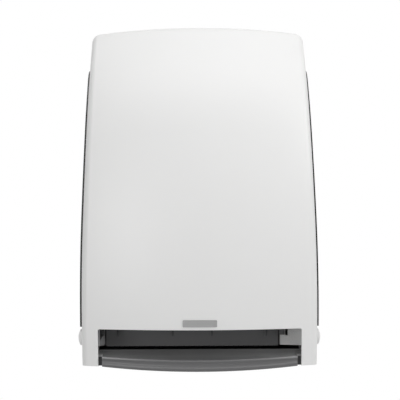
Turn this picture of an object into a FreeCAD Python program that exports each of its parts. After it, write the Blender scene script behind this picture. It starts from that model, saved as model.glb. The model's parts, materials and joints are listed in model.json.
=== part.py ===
import FreeCAD, Part
import math
import os
import types

import Sketcher
from FreeCAD import Placement, Rotation, Vector

# A wall-hung paper towel dispenser. A push-down lever bar turns a feed roller through gears and
# a one-way clutch. The white front cover swings up on two pins at its top rear.
#
# Frame: the wall is the plane Y = 0, the front looks along -Y, up is +Z, and the origin is the
# middle of the four wall screws. Heights in the sheet are taken from the bottom of the cover's
# legs, depths from the wall, and widths from the middle of the object.

SIZES = {
    # front cover: outline seen from the front
    "legs_drop": 205.0,
    "cover_height": 428.0,
    "cover_half_width": 146.7,
    "side_straight": 50.0,
    "side_arc_radius": 4100.0,
    "side_arc_top": 181.0,
    "crown_radius": 1450.0,
    "corner_radius": 12.0,
    # front cover: section seen from the side, and its curve seen from above
    "cover_wall": 3.0,
    "rear_relief": 5.0,
    "rear_gap": 3.0,
    "front_reach": 225.0,
    "bulge_height": 120.0,
    "belly_radius": 810.0,
    "brow_below_top": 128.0,
    "brow_radius": 360.0,
    "brow_turn": 60.0,
    "plan_radius": 500.0,
    "edge_radius": 10.0,
    "edge_bevel": 4.5,
    # the opening under the cover's front wall, between its two legs
    "leg_width": 20.7,
    "throat_height": 46.6,
    "throat_corner": 2.5,
    "throat_round": 0.8,
    # smoked side windows
    "window_bottom": 50.0,
    "window_below_top": 55.0,
    "window_setback": 45.0,
    "window_rear": 22.0,
    "window_thickness": 3.4,
    "window_corner": 25.0,
    "window_lap": 6.0,
    # bare badge plate
    "badge_width": 42.0,
    "badge_height": 8.5,
    "badge_middle": 54.8,
    "badge_corner": 1.2,
    "badge_proud": 0.9,
    "badge_recess": 0.6,
    "badge_room": 0.1,
    # cover hinge
    "hinge_depth": 17.0,
    "hinge_below_top": 12.0,
    "hinge_pin_radius": 2.0,
    "hinge_ear_inset": 36.7,
    "hinge_ear_width": 4.0,
    "hinge_ear_wall": 2.0,
    "hinge_lug_radius": 5.0,
    # back plate and its four wall screws
    "plate_thickness": 3.0,
    "plate_inset": 4.0,
    "plate_bottom": 2.0,
    "plate_below_top": 26.0,
    "plate_rim": 10.0,
    "plate_rim_wall": 2.5,
    "shelf_depth": 84.0,
    "wall_screw_x": 90.0,
    "wall_screw_z": 125.0,
    "wall_screw_radius": 2.75,
    "wall_boss_wall": 3.5,
    "wall_boss_rise": 2.0,
    # side frames and gear wall
    "frame_inset": 22.7,
    "frame_wall": 3.0,
    "frame_top": 140.0,
    "cheek_behind_front": 27.5,
    "cheek_top": 62.0,
    "cheek_front_bottom": 25.0,
    "cheek_rear_bottom": 16.0,
    "foot_width": 11.0,
    "foot_wall": 3.0,
    "foot_tall": 14.0,
    "foot_low": 45.0,
    "foot_high": 118.0,
    "frame_corner": 6.0,
    "frame_shoulder": 28.0,
    "frame_nose": 12.0,
    "hook_window_low": 31.0,
    "hook_window_high": 50.0,
    "frame_window_inset": 30.0,
    "cheek_window_long": 14.0,
    "gear_room": 18.0,
    "gear_wall_thickness": 2.0,
    # front guide, tear blade and rear chute
    "guide_front": 122.0,
    "guide_wall": 3.0,
    "guide_bottom": 15.0,
    "guide_top": 66.0,
    "guide_left_gap": 3.0,
    "guide_right_gap": 2.4,
    "guide_lip": 6.0,
    "guide_lug_tall": 13.0,
    "hook_reach": 20.0,
    "hook_wall": 2.0,
    "hook_nose": 2.5,
    "rib_width": 2.5,
    "rib_rise": 2.0,
    "rib_inner_offset": 25.4,
    "rib_inset": 16.4,
    "rib_clear": 12.0,
    "blade_thickness": 0.8,
    "blade_tall": 9.0,
    "blade_inset": 1.0,
    "tooth_pitch": 6.5,
    "tooth_tall": 2.4,
    "chute_depth": 106.0,
    "chute_wall": 2.5,
    "chute_top": 76.0,
    # lever
    "lever_depth": 60.0,
    "lever_height": 48.0,
    "lever_shaft_radius": 4.0,
    "arm_gap": 3.0,
    "arm_thickness": 4.0,
    "arm_hub_radius": 11.0,
    "arm_half_height": 10.0,
    "arm_foot_wall": 3.0,
    "arm_foot_lap": 9.0,
    "arm_foot_bottom": -2.5,
    "arm_foot_top": 14.0,
    "lever_screw_low": 1.5,
    "lever_screw_high": 9.5,
    "lever_spring_wire": 1.6,
    "lever_spring_turns": 3.0,
    "stop_depth": 115.0,
    "stop_radius": 4.0,
    "stop_long": 6.0,
    "stop_gap": 0.3,
    "bush_wall": 3.0,
    "bush_flange": 2.0,
    # lever bar
    "bar_rear_inset": 49.0,
    "bar_front_inset": 5.5,
    "bar_end_gap": 5.0,
    "bar_top": 17.7,
    "bar_wall": 2.5,
    "bar_scoop": 2.6,
    "bar_ridge_middle": 9.0,
    "bar_ridge_end": 11.8,
    "bar_bottom_middle": -4.7,
    "bar_bottom_end": 0.0,
    "bar_web_bottom": -3.0,
    "bar_groove": 1.7,
    "bar_nose": 1.6,
    "bar_nose_rise": 0.7,
    "bar_nose_fall": 2.2,
    "bar_lip_tall": 4.2,
    "bar_toe": 2.0,
    "flange_front_inset": 32.0,
    "flange_lap": 2.0,
    "flange_fall": 4.2,
    "flange_sag": 2.9,
    "flange_tall": 9.0,
    # gears
    "gear_module": 1.5,
    "gear_width": 4.0,
    "sector_teeth": 64.0,
    "sector_teeth_kept": 7.0,
    "sector_teeth_before": 4.0,
    "pinion_teeth": 12.0,
    "idler_teeth": 32.0,
    "clutch_teeth": 16.0,
    "gear_gap": 2.0,
    "gear_step": 5.0,
    "tooth_play": 0.35,
    "idler_pin_radius": 3.0,
    "clutch_drum_radius": 9.0,
    # feed roller and pressure roller
    "feed_depth": 98.0,
    "feed_height": 95.0,
    "feed_shaft_radius": 4.0,
    "feed_roller_radius": 15.7,
    "pressure_shaft_radius": 3.0,
    "pressure_roller_radius": 12.0,
    "roller_length": 30.0,
    "roller_inset": 31.3,
    "roller_gap": 0.6,
    "feed_wheel_radius": 17.0,
    "feed_wheel_width": 8.0,
    "feed_grip_radius": 1.6,
    "feed_grips": 12.0,
    "pressure_arm_gap": 6.0,
    "pressure_arm_wall": 2.5,
    "pressure_eye_wall": 3.0,
    "pressure_bar_setback": 6.5,
    "pressure_bar_low": 15.5,
    "pressure_bar_high": 31.0,
    "pressure_spring_wire": 1.2,
    "pressure_spring_turns": 2.0,
    "spring_pitch": 1.25,
    "spring_play": 0.3,
    "pivot_depth": 121.0,
    "pivot_height": 130.0,
    "pivot_radius": 3.0,
    # roll holders
    "roll_depth": 112.0,
    "roll_height": 285.0,
    "roll_inset": 10.3,
    "roll_hub_radius": 18.0,
    "roll_hub_flange": 7.0,
    "roll_hub_long": 9.0,
    "roll_arm_thickness": 3.0,
    "roll_arm_tip": 12.0,
    "roll_play": 2.3,
    "roll_stub_radius": 4.0,
    "roll_stub": 11.0,
    "holder_half_height": 23.0,
    "holder_screw_inset": 6.0,
    "holder_screw_reach": 12.0,
    "holder_screw_z": 17.0,
    "holder_edge": 2.7,
    "bracket_left": 9.0,
    "bracket_right": 15.0,
    "knuckle_depth": 14.0,
    "knuckle_radius": 5.0,
    "knuckle_half_height": 15.0,
    "pin_radius": 2.5,
    # release buttons and their keepers
    "button_behind_front": 53.0,
    "button_height": 33.0,
    "button_radius": 10.0,
    "button_proud": 6.1,
    "button_wall": 1.8,
    "button_travel": 3.0,
    "catch_radius": 6.0,
    "catch_width": 2.9,
    "stem_radius": 2.5,
    "cup_depth": 2.2,
    "cup_floor": 1.5,
    "cup_wall": 1.6,
    "dome_rise": 2.8,
    "button_spring_wall": 0.8,
    "keeper_wall": 2.6,
    "keeper_front": 2.2,
    "keeper_rear": 8.0,
    "lip_rise": 1.6,
    "keeper_screw_setback": 4.0,
    "keeper_screw_height": 56.0,
    "small_screw_radius": 1.5,
    # fits
    "running_fit": 0.05,
    "gap": 0.4,
    "screw_radius": 2.0,
    "screw_head": 2.0,
    "screw_head_step": 1.8,
}


doc = FreeCAD.newDocument("TowelDispenser")
sheet = doc.addObject("Spreadsheet::Sheet", "Sizes")
for row, (alias, number) in enumerate(SIZES.items(), start=1):
    sheet.set(f"A{row}", alias)
    sheet.set(f"B{row}", str(number))
    sheet.setAlias(f"B{row}", alias)
doc.recompute()


class Size:
    """A number together with the sheet formula that it follows."""

    def __init__(self, value, formula):
        self.value = float(value)
        self.formula = formula

    def joined(self, other, sign, value):
        return Size(value, f"({self.formula} {sign} {other.formula})")

    def __add__(self, other):
        other = as_size(other)
        return self.joined(other, "+", self.value + other.value)

    def __sub__(self, other):
        other = as_size(other)
        return self.joined(other, "-", self.value - other.value)

    def __mul__(self, other):
        other = as_size(other)
        return self.joined(other, "*", self.value * other.value)

    def __truediv__(self, other):
        other = as_size(other)
        return self.joined(other, "/", self.value / other.value)

    def __radd__(self, other):
        return as_size(other) + self

    def __rsub__(self, other):
        return as_size(other) - self

    def __rmul__(self, other):
        return as_size(other) * self

    def __neg__(self):
        return as_size(0.0) - self


def as_size(number):
    """Pass a Size through, and wrap a plain number as a fixed one."""
    if isinstance(number, Size):
        return number
    return Size(number, f"({float(number):.6f})")


S = types.SimpleNamespace(**{alias: Size(getattr(sheet, alias), f"Sizes.{alias}") for alias in SIZES})

# places that follow the cover's own size
S.throat_half_width = S.cover_half_width - S.leg_width
S.brow_height = S.cover_height - S.brow_below_top
S.window_top = S.cover_height - S.window_below_top
S.hinge_height = S.cover_height - S.hinge_below_top
S.hinge_ear_place = S.cover_half_width - S.hinge_ear_inset
S.plate_top = S.cover_height - S.plate_below_top
S.frame_inner = S.cover_half_width - S.frame_inset
S.frame_outer = S.frame_inner + S.frame_wall
S.gear_wall_inner = S.frame_inner - S.gear_room
S.cheek_front_depth = S.front_reach - S.cheek_behind_front
S.cheek_rear_depth = S.guide_front
S.frame_window_front = S.front_reach - S.frame_window_inset
S.guide_left = S.frame_inner - S.guide_left_gap
S.guide_right = S.gear_wall_inner - S.guide_right_gap
S.path_middle = (S.guide_right - S.guide_left) / 2
S.path_half_width = (S.guide_right + S.guide_left) / 2
S.rib_outer_offset = S.path_half_width - S.rib_inset
S.roller_far = S.path_half_width - S.roller_inset
S.roller_near = S.roller_far / 3
S.roll_half_width = S.path_half_width - S.roll_inset
S.hook_front = S.guide_front + S.hook_reach
S.hook_rear = S.hook_front - S.hook_wall
S.arm_inner = S.frame_outer + S.arm_gap
S.arm_outer = S.arm_inner + S.arm_thickness
S.bar_rear = S.front_reach - S.bar_rear_inset
S.bar_front = S.front_reach - S.bar_front_inset
S.bar_half_width = S.throat_half_width - S.bar_end_gap
S.bar_flange_half_width = S.throat_half_width + S.flange_lap
S.bar_flange_front = S.front_reach - S.flange_front_inset
S.arm_foot_inner = S.bar_half_width - S.arm_foot_lap
S.sector_place = S.gear_wall_inner + S.gear_wall_thickness + S.gear_gap
S.idler_place = S.sector_place + S.gear_step
S.button_depth = S.front_reach - S.button_behind_front
S.button_reach = S.cover_half_width + S.button_proud
S.keeper_screw_depth = S.button_depth - S.keeper_screw_setback


def level(height):
    """Height above the legs' bottoms, as a Z in the part's frame."""
    return height - S.legs_drop


def bind(item, prop, size):
    """Let a property follow the sheet."""
    item.setExpression(prop, as_size(size).formula)


def place(item, x, y, z, rotation=None):
    """Put an object at three sizes, with an optional turn."""
    spot = [as_size(size) for size in (x, y, z)]
    item.Placement = Placement(Vector(*[size.value for size in spot]), rotation or Rotation())
    for axis, size in zip("xyz", spot):
        bind(item, f"Placement.Base.{axis}", size)
    return item


def new(kind, name):
    """A document object with a label of its own."""
    item = doc.addObject(kind, name)
    item.Label = name
    return item


def box(name, x, y, z):
    """A block between two bounds on each axis."""
    item = new("Part::Box", name)
    bounds = [(as_size(low), as_size(high)) for low, high in (x, y, z)]
    for prop, (low, high) in zip(("Length", "Width", "Height"), bounds):
        bind(item, prop, high - low)
    return place(item, *[low for low, high in bounds])


TURNS = {
    "x": Rotation(Vector(0, 1, 0), 90),
    "y": Rotation(Vector(1, 0, 0), -90),
    "z": Rotation(),
}


def spot_on(axis, along, across):
    """A point from its place along one axis and its places on the other two, in XYZ order."""
    first, second = across
    return {"x": (along, first, second), "y": (first, along, second), "z": (first, second, along)}[axis]


def rod(name, axis, radius, along, across):
    """A cylinder along an axis between two bounds."""
    low, high = [as_size(bound) for bound in along]
    item = new("Part::Cylinder", name)
    bind(item, "Radius", radius)
    bind(item, "Height", high - low)
    return place(item, *spot_on(axis, low, across), TURNS[axis])


def join(name, pieces):
    """Fuse pieces into one solid."""
    item = new("Part::MultiFuse", name)
    item.Shapes = list(pieces)
    item.Refine = True
    return item


def cut(name, base, tools):
    """Cut tools out of a base."""
    tools = list(tools)
    item = new("Part::Cut", name)
    item.Base = base
    item.Tool = tools[0] if len(tools) == 1 else join(name + "_tools", tools)
    item.Refine = True
    return item


def common(name, first, second):
    """Keep what two solids share."""
    item = new("Part::Common", name)
    item.Base = first
    item.Tool = second
    item.Refine = True
    return item


def tube(name, axis, outer, inner, along, across):
    """A cylinder with a bore right through it."""
    low, high = [as_size(bound) for bound in along]
    bore = rod(name + "_bore", axis, inner, (low - 1, high + 1), across)
    return cut(name, rod(name + "_outside", axis, outer, along, across), [bore])


def group(name, pieces):
    """Several separate solids that share a node."""
    item = new("Part::Compound", name)
    item.Links = list(pieces)
    return item


PLANES = {"x": "YZ_Plane", "y": "XZ_Plane", "z": "XY_Plane"}


def plane_of(body, axis):
    """The body's own origin plane that is square to an axis."""
    return [item for item in body.Origin.OriginFeatures if item.Role == PLANES[axis]][0]


def sketch_on(body, name, axis, offset):
    """An empty sketch on an origin plane, moved along the plane's normal."""
    sketch = body.newObject("Sketcher::SketchObject", name)
    sketch.AttachmentSupport = (plane_of(body, axis), [""])
    sketch.MapMode = "FlatFace"
    bind(sketch, "AttachmentOffset.Base.z", offset)
    return sketch


def outline(sketch, corners):
    """Draw a closed outline whose corners are each held by two distances from the origin."""
    corners = [(as_size(across), as_size(up)) for across, up in corners]
    points = [Vector(across.value, up.value, 0) for across, up in corners]
    start = sketch.GeometryCount
    count = len(points)
    lines = [Part.LineSegment(points[i], points[(i + 1) % count]) for i in range(count)]
    sketch.addGeometry(lines, False)
    for i in range(count):
        following = start + (i + 1) % count
        sketch.addConstraint(Sketcher.Constraint("Coincident", start + i, 2, following, 1))
    for i, (across, up) in enumerate(corners):
        for kind, size in (("DistanceX", across), ("DistanceY", up)):
            held = sketch.addConstraint(Sketcher.Constraint(kind, start + i, 1, size.value))
            sketch.setExpression(f"Constraints[{held}]", size.formula)


def circle(sketch, across, up, radius):
    """Draw a circle held by its centre and radius."""
    across, up, radius = as_size(across), as_size(up), as_size(radius)
    curve = Part.Circle(Vector(across.value, up.value, 0), Vector(0, 0, 1), radius.value)
    ring = sketch.addGeometry(curve, False)
    for kind, args, size in (
        ("DistanceX", (ring, 3), across),
        ("DistanceY", (ring, 3), up),
        ("Radius", (ring,), radius),
    ):
        held = sketch.addConstraint(Sketcher.Constraint(kind, *args, size.value))
        sketch.setExpression(f"Constraints[{held}]", size.formula)


def plate(name, axis, along, corners, holes=()):
    """A pad of an outline between two bounds along an axis, with round holes through it."""
    low, high = [as_size(bound) for bound in along]
    body = new("PartDesign::Body", name)
    offset = -high if axis == "y" else low
    sketch = sketch_on(body, name + "_outline", axis, offset)
    outline(sketch, corners)
    for across, up, radius in holes:
        circle(sketch, across, up, radius)
    pad = body.newObject("PartDesign::Pad", name + "_pad")
    pad.Profile = sketch
    bind(pad, "Length", high - low)
    return body


def rounded(body, radius, corners, axis):
    """Round the pad's edges that run along an axis through the given corners."""
    doc.recompute()
    pad = body.Tip
    free = [i for i in range(3) if "xyz"[i] != axis]
    wanted = []
    for number, edge in enumerate(pad.Shape.Edges, start=1):
        if edge.Curve.TypeId != "Part::GeomLine":
            continue
        start, end = [vertex.Point for vertex in edge.Vertexes]
        if any(abs(start[i] - end[i]) > 1e-6 for i in free):
            continue
        for corner in corners:
            if all(abs(start[i] - as_size(size).value) < 1e-3 for i, size in zip(free, corner)):
                wanted.append(f"Edge{number}")
    fillet = body.newObject("PartDesign::Fillet", body.Name + "_round")
    fillet.Base = (pad, wanted)
    bind(fillet, "Radius", radius)
    return body


# ---- shapes that follow the cover's double curve ----

# How far a cutting tool runs past what it cuts, a depth behind the wall, a depth in front of
# everything, the height of the legs' bottoms, and a height under them.
OVER = 5.0
BEHIND = 20.0
FAR = 2 * S.front_reach.value
FLOOR = level(as_size(0.0)).value
BELOW = FLOOR - OVER


def shaped(name, shape):
    """A sub-part made with Part's own functions."""
    item = new("Part::Feature", name)
    item.Shape = shape
    item.Placement = Placement()
    return item


def arc_between(start, middle, end):
    return Part.Arc(start, middle, end).toShape()


def front_outline(inset, bottom, front, rear):
    """The cover's outline seen from the front, moved inwards and drawn out between two depths.

    Each side is upright up to side_straight, then an arc that leans in, and from side_arc_top
    a straight line that keeps the arc's lean. The crown is a flatter arc with round corners.
    """
    half = S.cover_half_width.value - inset
    drop = S.legs_drop.value
    straight = S.side_straight.value - drop
    side_radius = S.side_arc_radius.value - inset
    top = S.cover_height.value - inset - drop
    crown_radius = S.crown_radius.value - inset
    lean = math.asin((S.side_arc_top.value - S.side_straight.value) / S.side_arc_radius.value)

    def side_point(angle):
        return Vector(half - side_radius * (1 - math.cos(angle)), 0, straight + side_radius * math.sin(angle))

    def mirrored(point):
        return Vector(-point.x, 0, point.z)

    arc = [side_point(0.0), side_point(lean / 2), side_point(lean)]
    rise = top + OVER - arc[2].z
    tip = arc[2] + Vector(-math.tan(lean) * rise, 0, rise)
    foot = Vector(half, 0, bottom)
    edges = [
        Part.makeLine(mirrored(foot), foot),
        Part.makeLine(foot, arc[0]),
        arc_between(*arc),
        Part.makeLine(arc[2], tip),
        Part.makeLine(tip, mirrored(tip)),
        Part.makeLine(mirrored(tip), mirrored(arc[2])),
        arc_between(*[mirrored(point) for point in reversed(arc)]),
        Part.makeLine(mirrored(arc[0]), mirrored(foot)),
    ]
    slab = Part.Face(Part.Wire(edges)).extrude(Vector(0, rear - front, 0))
    slab.translate(Vector(0, front, 0))
    middle = Vector(0, front, top - crown_radius)
    crown = Part.makeCylinder(crown_radius, rear - front, middle, Vector(0, 1, 0))
    solid = slab.common(crown)
    radius = S.corner_radius.value - inset
    corners = []
    for edge in solid.Edges:
        start, end = [vertex.Point for vertex in edge.Vertexes]
        if abs(start.x - end.x) + abs(start.z - end.z) < 1e-6 and start.z > top - S.hinge_below_top.value:
            corners.append(edge)
    return solid.makeFillet(radius, corners)


def front_section(inset, bottom, rear):
    """The cover's section seen from the side: a belly arc, then a brow arc tangent to it."""
    drop = S.legs_drop.value
    belly = S.belly_radius.value
    brow = S.brow_radius.value
    bulge = S.bulge_height.value - drop
    turn = math.asin((S.brow_height.value - S.bulge_height.value) / belly)
    belly_middle = Vector(0, belly - S.front_reach.value, bulge)
    brow_middle = belly_middle + Vector(0, -math.cos(turn), math.sin(turn)) * (belly - brow)

    def on_arc(middle, radius, angle):
        return middle + Vector(0, -math.cos(angle), math.sin(angle)) * (radius - inset)

    low = math.asin((bottom - bulge) / (belly - inset))
    last = math.radians(S.brow_turn.value)
    belly_points = [on_arc(belly_middle, belly, angle) for angle in (low, (low + turn) / 2, turn)]
    brow_points = [on_arc(brow_middle, brow, angle) for angle in (turn, (turn + last) / 2, last)]
    end = brow_points[-1]
    rear_top = Vector(0, rear, end.z)
    rear_bottom = Vector(0, rear, belly_points[0].z)
    edges = [arc_between(*belly_points), arc_between(*brow_points)]
    edges += [
        Part.makeLine(end, rear_top),
        Part.makeLine(rear_top, rear_bottom),
        Part.makeLine(rear_bottom, belly_points[0]),
    ]
    return Part.Face(Part.Wire(edges))


def swept_section(inset, bottom, turn):
    """The cover's section turned both ways about a far upright axis, by an angle in degrees."""
    axis = Vector(0, S.plan_radius.value - S.front_reach.value, 0)
    section = front_section(inset, bottom, BEHIND)
    section.rotate(axis, Vector(0, 0, 1), -turn)
    return section.revolve(axis, Vector(0, 0, 1), 2 * turn)


def front_body(inset, bottom):
    """The cover as a full block: its section turned about a far upright axis, within its outline.

    The outer block has round edges; one that is set inwards has bevelled ones.
    """
    swept = swept_section(inset, bottom, 40.0)
    rear = -S.rear_gap.value if inset == 0 else OVER
    block = swept.common(front_outline(inset, bottom, -FAR, rear))
    rims = []
    for edge in block.Edges:
        ends = [vertex.Point for vertex in edge.Vertexes]
        middle = edge.valueAt((edge.FirstParameter + edge.LastParameter) / 2)
        at_bottom = abs(middle.z - bottom) < 0.1
        along_depth = abs(ends[0].x - ends[-1].x) + abs(ends[0].z - ends[-1].z) < 1e-3
        behind = middle.y > -S.front_reach.value / 3
        brow_seam = abs(middle.x) < S.throat_half_width.value and middle.z < level(S.window_top).value
        if not (at_bottom or along_depth or behind or brow_seam):
            rims.append(edge)
    if inset:
        return block.makeChamfer(S.edge_bevel.value, rims)
    return block.makeFillet(S.edge_radius.value, rims)


def block(x, y, z):
    """A plain solid between bounds, for cutting shaped sub-parts."""
    low = Vector(x[0], y[0], z[0])
    return Part.makeBox(x[1] - x[0], y[1] - y[0], z[1] - z[0], low)


def bolt(axis, radius, along, across):
    """A plain cylinder between bounds, for cutting shaped sub-parts."""
    direction = {"x": Vector(1, 0, 0), "y": Vector(0, 1, 0), "z": Vector(0, 0, 1)}[axis]
    return Part.makeCylinder(radius, along[1] - along[0], Vector(*spot_on(axis, along[0], across)), direction)


def side_zone(side):
    """The widths between which one side wall and its window lie."""
    half = S.cover_half_width.value
    return tuple(sorted((side * (half - S.leg_width.value), side * (half + S.corner_radius.value))))


def window_prism(lap, side):
    """The side window's outline, smaller or larger by a lap, drawn out through one side wall."""
    low, high = side_zone(side)
    section = front_section(S.window_setback.value - lap, BELOW, -S.window_rear.value + lap)
    slab = section.extrude(Vector(high - low, 0, 0))
    slab.translate(Vector(low, 0, 0))
    bottom = level(S.window_bottom).value - lap
    top = level(S.window_top).value + lap
    trimmed = slab.common(block((low, high), (-FAR, 0), (bottom, top)))
    corners = []
    for edge in trimmed.Edges:
        start, end = [vertex.Point for vertex in edge.Vertexes]
        across = abs(start.y - end.y) + abs(start.z - end.z) < 1e-6
        if across and start.z > top - OVER and start.y < -S.front_reach.value / 3:
            corners.append(edge)
    return trimmed.makeFillet(S.window_corner.value + lap, corners)


def side_window(name, side):
    """A smoked panel that lies on the cover's side, over its opening."""
    ring = front_outline(-S.window_thickness.value, BELOW, -FAR, 0).cut(front_outline(0.0, BELOW, -FAR, 0))
    return shaped(name, ring.common(window_prism(S.window_lap.value / 2, side)))


def badge_block(room):
    """The badge's outline with some room round it, drawn out through the front wall."""
    half_width = S.badge_width.value / 2 + room
    half_height = S.badge_height.value / 2 + room
    middle = level(S.badge_middle).value
    depth = (-FAR, 2 * S.edge_radius.value - S.front_reach.value)
    slab = block((-half_width, half_width), depth, (middle - half_height, middle + half_height))
    upright = [edge for edge in slab.Edges if abs(edge.Vertexes[0].Y - edge.Vertexes[1].Y) > 1.0]
    return slab.makeFillet(S.badge_corner.value + room, upright)


def badge_plate():
    """A bare plate set into the front, following its curve."""
    skin = curved_skin(-S.badge_proud.value, S.badge_recess.value)
    return shaped("badge_plate", skin.common(badge_block(0.0)))


def curved_skin(outer, inner):
    """The layer between two insets of the front's belly surface, near its middle."""
    return swept_section(outer, BELOW, 5.0).cut(swept_section(inner, BELOW, 5.0))


def cup_span(side, low, high):
    """Two widths on one side, in rising order."""
    return tuple(sorted((side * low, side * high)))


def lies_on(edge, solid):
    """Whether an edge's middle lies on a solid's surface."""
    middle = Part.Vertex(edge.valueAt((edge.FirstParameter + edge.LastParameter) / 2))
    return middle.distToShape(solid.Shells[0])[0] < 1e-3


def throat_rim(shell, outside, notch):
    """The edges where the throat meets the cover's outer surface."""
    rim = []
    for edge in shell.Edges:
        start, end = [vertex.Point for vertex in (edge.Vertexes[0], edge.Vertexes[-1])]
        along_depth = abs(start.x - end.x) + abs(start.z - end.z) < 1e-3
        if not along_depth and lies_on(edge, outside) and lies_on(edge, notch):
            rim.append(edge)
    return rim


def front_cover():
    """A moulded shell with a throat opening, side openings, button cups and hinge lugs."""
    wall = S.cover_wall.value
    half = S.cover_half_width.value
    outside = front_body(0, FLOOR)
    throat = S.throat_half_width.value
    notch = block((-throat, throat), (-FAR, -S.front_reach.value / 2), (BELOW, level(S.throat_height).value))
    notch_corners = [
        edge for edge in notch.Edges
        if abs(edge.Vertexes[0].Y - edge.Vertexes[1].Y) > 1.0 and edge.Vertexes[0].Z > FLOOR
    ]
    notch = notch.makeFillet(S.throat_corner.value, notch_corners)
    shell = outside.cut(front_body(wall, BELOW)).cut(notch)
    shell = shell.makeFillet(S.throat_round.value, throat_rim(shell, outside, notch))
    centre = (-S.button_depth.value, level(S.button_height).value)
    inside = half - wall
    cup_inside = inside - S.cup_depth.value
    cup_floor = cup_inside + S.cup_floor.value
    cup = S.button_radius.value + S.gap.value
    stem = S.stem_radius.value + S.running_fit.value
    for side in (-1, 1):
        shell = shell.cut(window_prism(-S.window_lap.value / 2, side))
        boss = bolt("x", cup + S.cup_wall.value, cup_span(side, cup_inside, half - wall / 2), centre)
        shell = shell.fuse(boss).cut(bolt("x", cup, cup_span(side, cup_floor, half + OVER), centre))
        shell = shell.cut(bolt("x", stem, cup_span(side, cup_inside - OVER, half), centre))
    ear = S.hinge_ear_place.value + S.hinge_ear_width.value / 2 + S.gap.value
    pin = (-S.hinge_depth.value, level(S.hinge_height).value)
    lug = S.hinge_lug_radius.value
    within = front_outline(wall / 3, BELOW, -FAR, -S.rear_gap.value)
    above = pin[1] + S.hinge_below_top.value
    for side in (-1, 1):
        width = cup_span(side, ear, ear + S.hinge_ear_width.value)
        web = block(width, (pin[0] - 3 * lug, pin[0] + lug), (pin[1], above))
        shell = shell.fuse(bolt("x", lug, width, pin).fuse(web).common(within))
        shell = shell.cut(bolt("x", S.hinge_pin_radius.value + S.running_fit.value, width, pin))
    relief = (-S.rear_gap.value - S.rear_relief.value, OVER)
    shell = shell.cut(block((-FAR, FAR), relief, (pin[1] - lug, above + OVER)))
    pocket = badge_block(S.badge_room.value).cut(front_body(S.badge_recess.value, BELOW))
    return shaped("front_cover", shell.cut(pocket))


def back_plate():
    """A shallow pan inside the cover: wall screw holes, a rim, a bottom shelf and hinge ears."""
    thick = S.plate_thickness.value
    rim = thick + S.plate_rim.value
    inset = S.plate_inset.value
    bottom = level(S.plate_bottom).value
    top = level(S.plate_top).value
    inner_inset = inset + S.plate_rim_wall.value
    hollow = front_outline(inner_inset, BELOW - OVER, -rim - OVER, -thick)
    pan = front_outline(inset, BELOW, -rim, 0).cut(hollow)
    pan = pan.common(block((-FAR, FAR), (-rim, 0), (bottom, top)))
    shelf = block((-FAR, FAR), (-S.shelf_depth.value, 0), (bottom, bottom + S.plate_rim_wall.value))
    pan = pan.fuse(front_outline(inset, BELOW, -S.shelf_depth.value, 0).common(shelf))
    pin = (-S.hinge_depth.value, level(S.hinge_height).value)
    ear_round = S.hinge_pin_radius.value + S.hinge_ear_wall.value
    root = top - 2 * S.plate_rim.value
    for side in (-1, 1):
        middle = side * S.hinge_ear_place.value
        width = (middle - S.hinge_ear_width.value / 2, middle + S.hinge_ear_width.value / 2)
        neck = block(width, (pin[0] - ear_round, pin[0] + ear_round), (root, pin[1]))
        foot = block(width, (pin[0] - ear_round, 0), (root, top - ear_round))
        pan = pan.fuse([neck, foot, bolt("x", ear_round, width, pin)])
        pan = pan.cut(bolt("x", S.hinge_pin_radius.value, width, pin))
    for x in (-1, 1):
        for z in (-1, 1):
            spot = (x * S.wall_screw_x.value, z * S.wall_screw_z.value)
            boss = S.wall_screw_radius.value + S.wall_boss_wall.value
            pan = pan.fuse(bolt("y", boss, (-thick - S.wall_boss_rise.value, 0), spot))
            pan = pan.cut(bolt("y", S.wall_screw_radius.value, (-rim, OVER), spot))
    for x, z in foot_screw_places() + holder_screw_places():
        pan = pan.cut(bolt("y", S.screw_radius.value, (-rim, OVER), (x.value, z.value)))
    return shaped("back_plate", pan)


def foot_screw_places():
    """Where the frames' feet are screwed to the back plate, as pairs of X and Z sizes."""
    outer = S.frame_outer + S.foot_width / 2
    inner = S.gear_wall_inner - S.foot_width / 2
    return [(x, level(z)) for x in (-outer, inner, outer) for z in (S.foot_low, S.foot_high)]


def holder_screw_places():
    """Where the roll holders are screwed to the back plate, as pairs of X and Z sizes."""
    left = S.path_middle - S.roll_half_width + S.holder_screw_inset
    right = S.path_middle + S.roll_half_width + S.holder_screw_reach
    height = level(S.roll_height)
    return [(x, height + z) for x in (left, right) for z in (-S.holder_screw_z, S.holder_screw_z)]


# ---- frames, guide, chute and blade ----

def mirror_span(side, low, high):
    """Two bounds measured outwards from the middle, in rising order, on one side of it."""
    low, high = as_size(low), as_size(high)
    return (low, high) if side > 0 else (-high, -low)


def frame_front(side):
    """How far forward a side frame reaches: the right one stops behind the slanted cheek."""
    if side < 0:
        return S.cheek_front_depth
    run = S.cheek_front_depth - S.cheek_rear_depth
    rise = S.frame_outer - S.gear_wall_inner
    return S.cheek_front_depth - (S.frame_wall + S.gear_wall_thickness + S.gap) * run / rise


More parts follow.
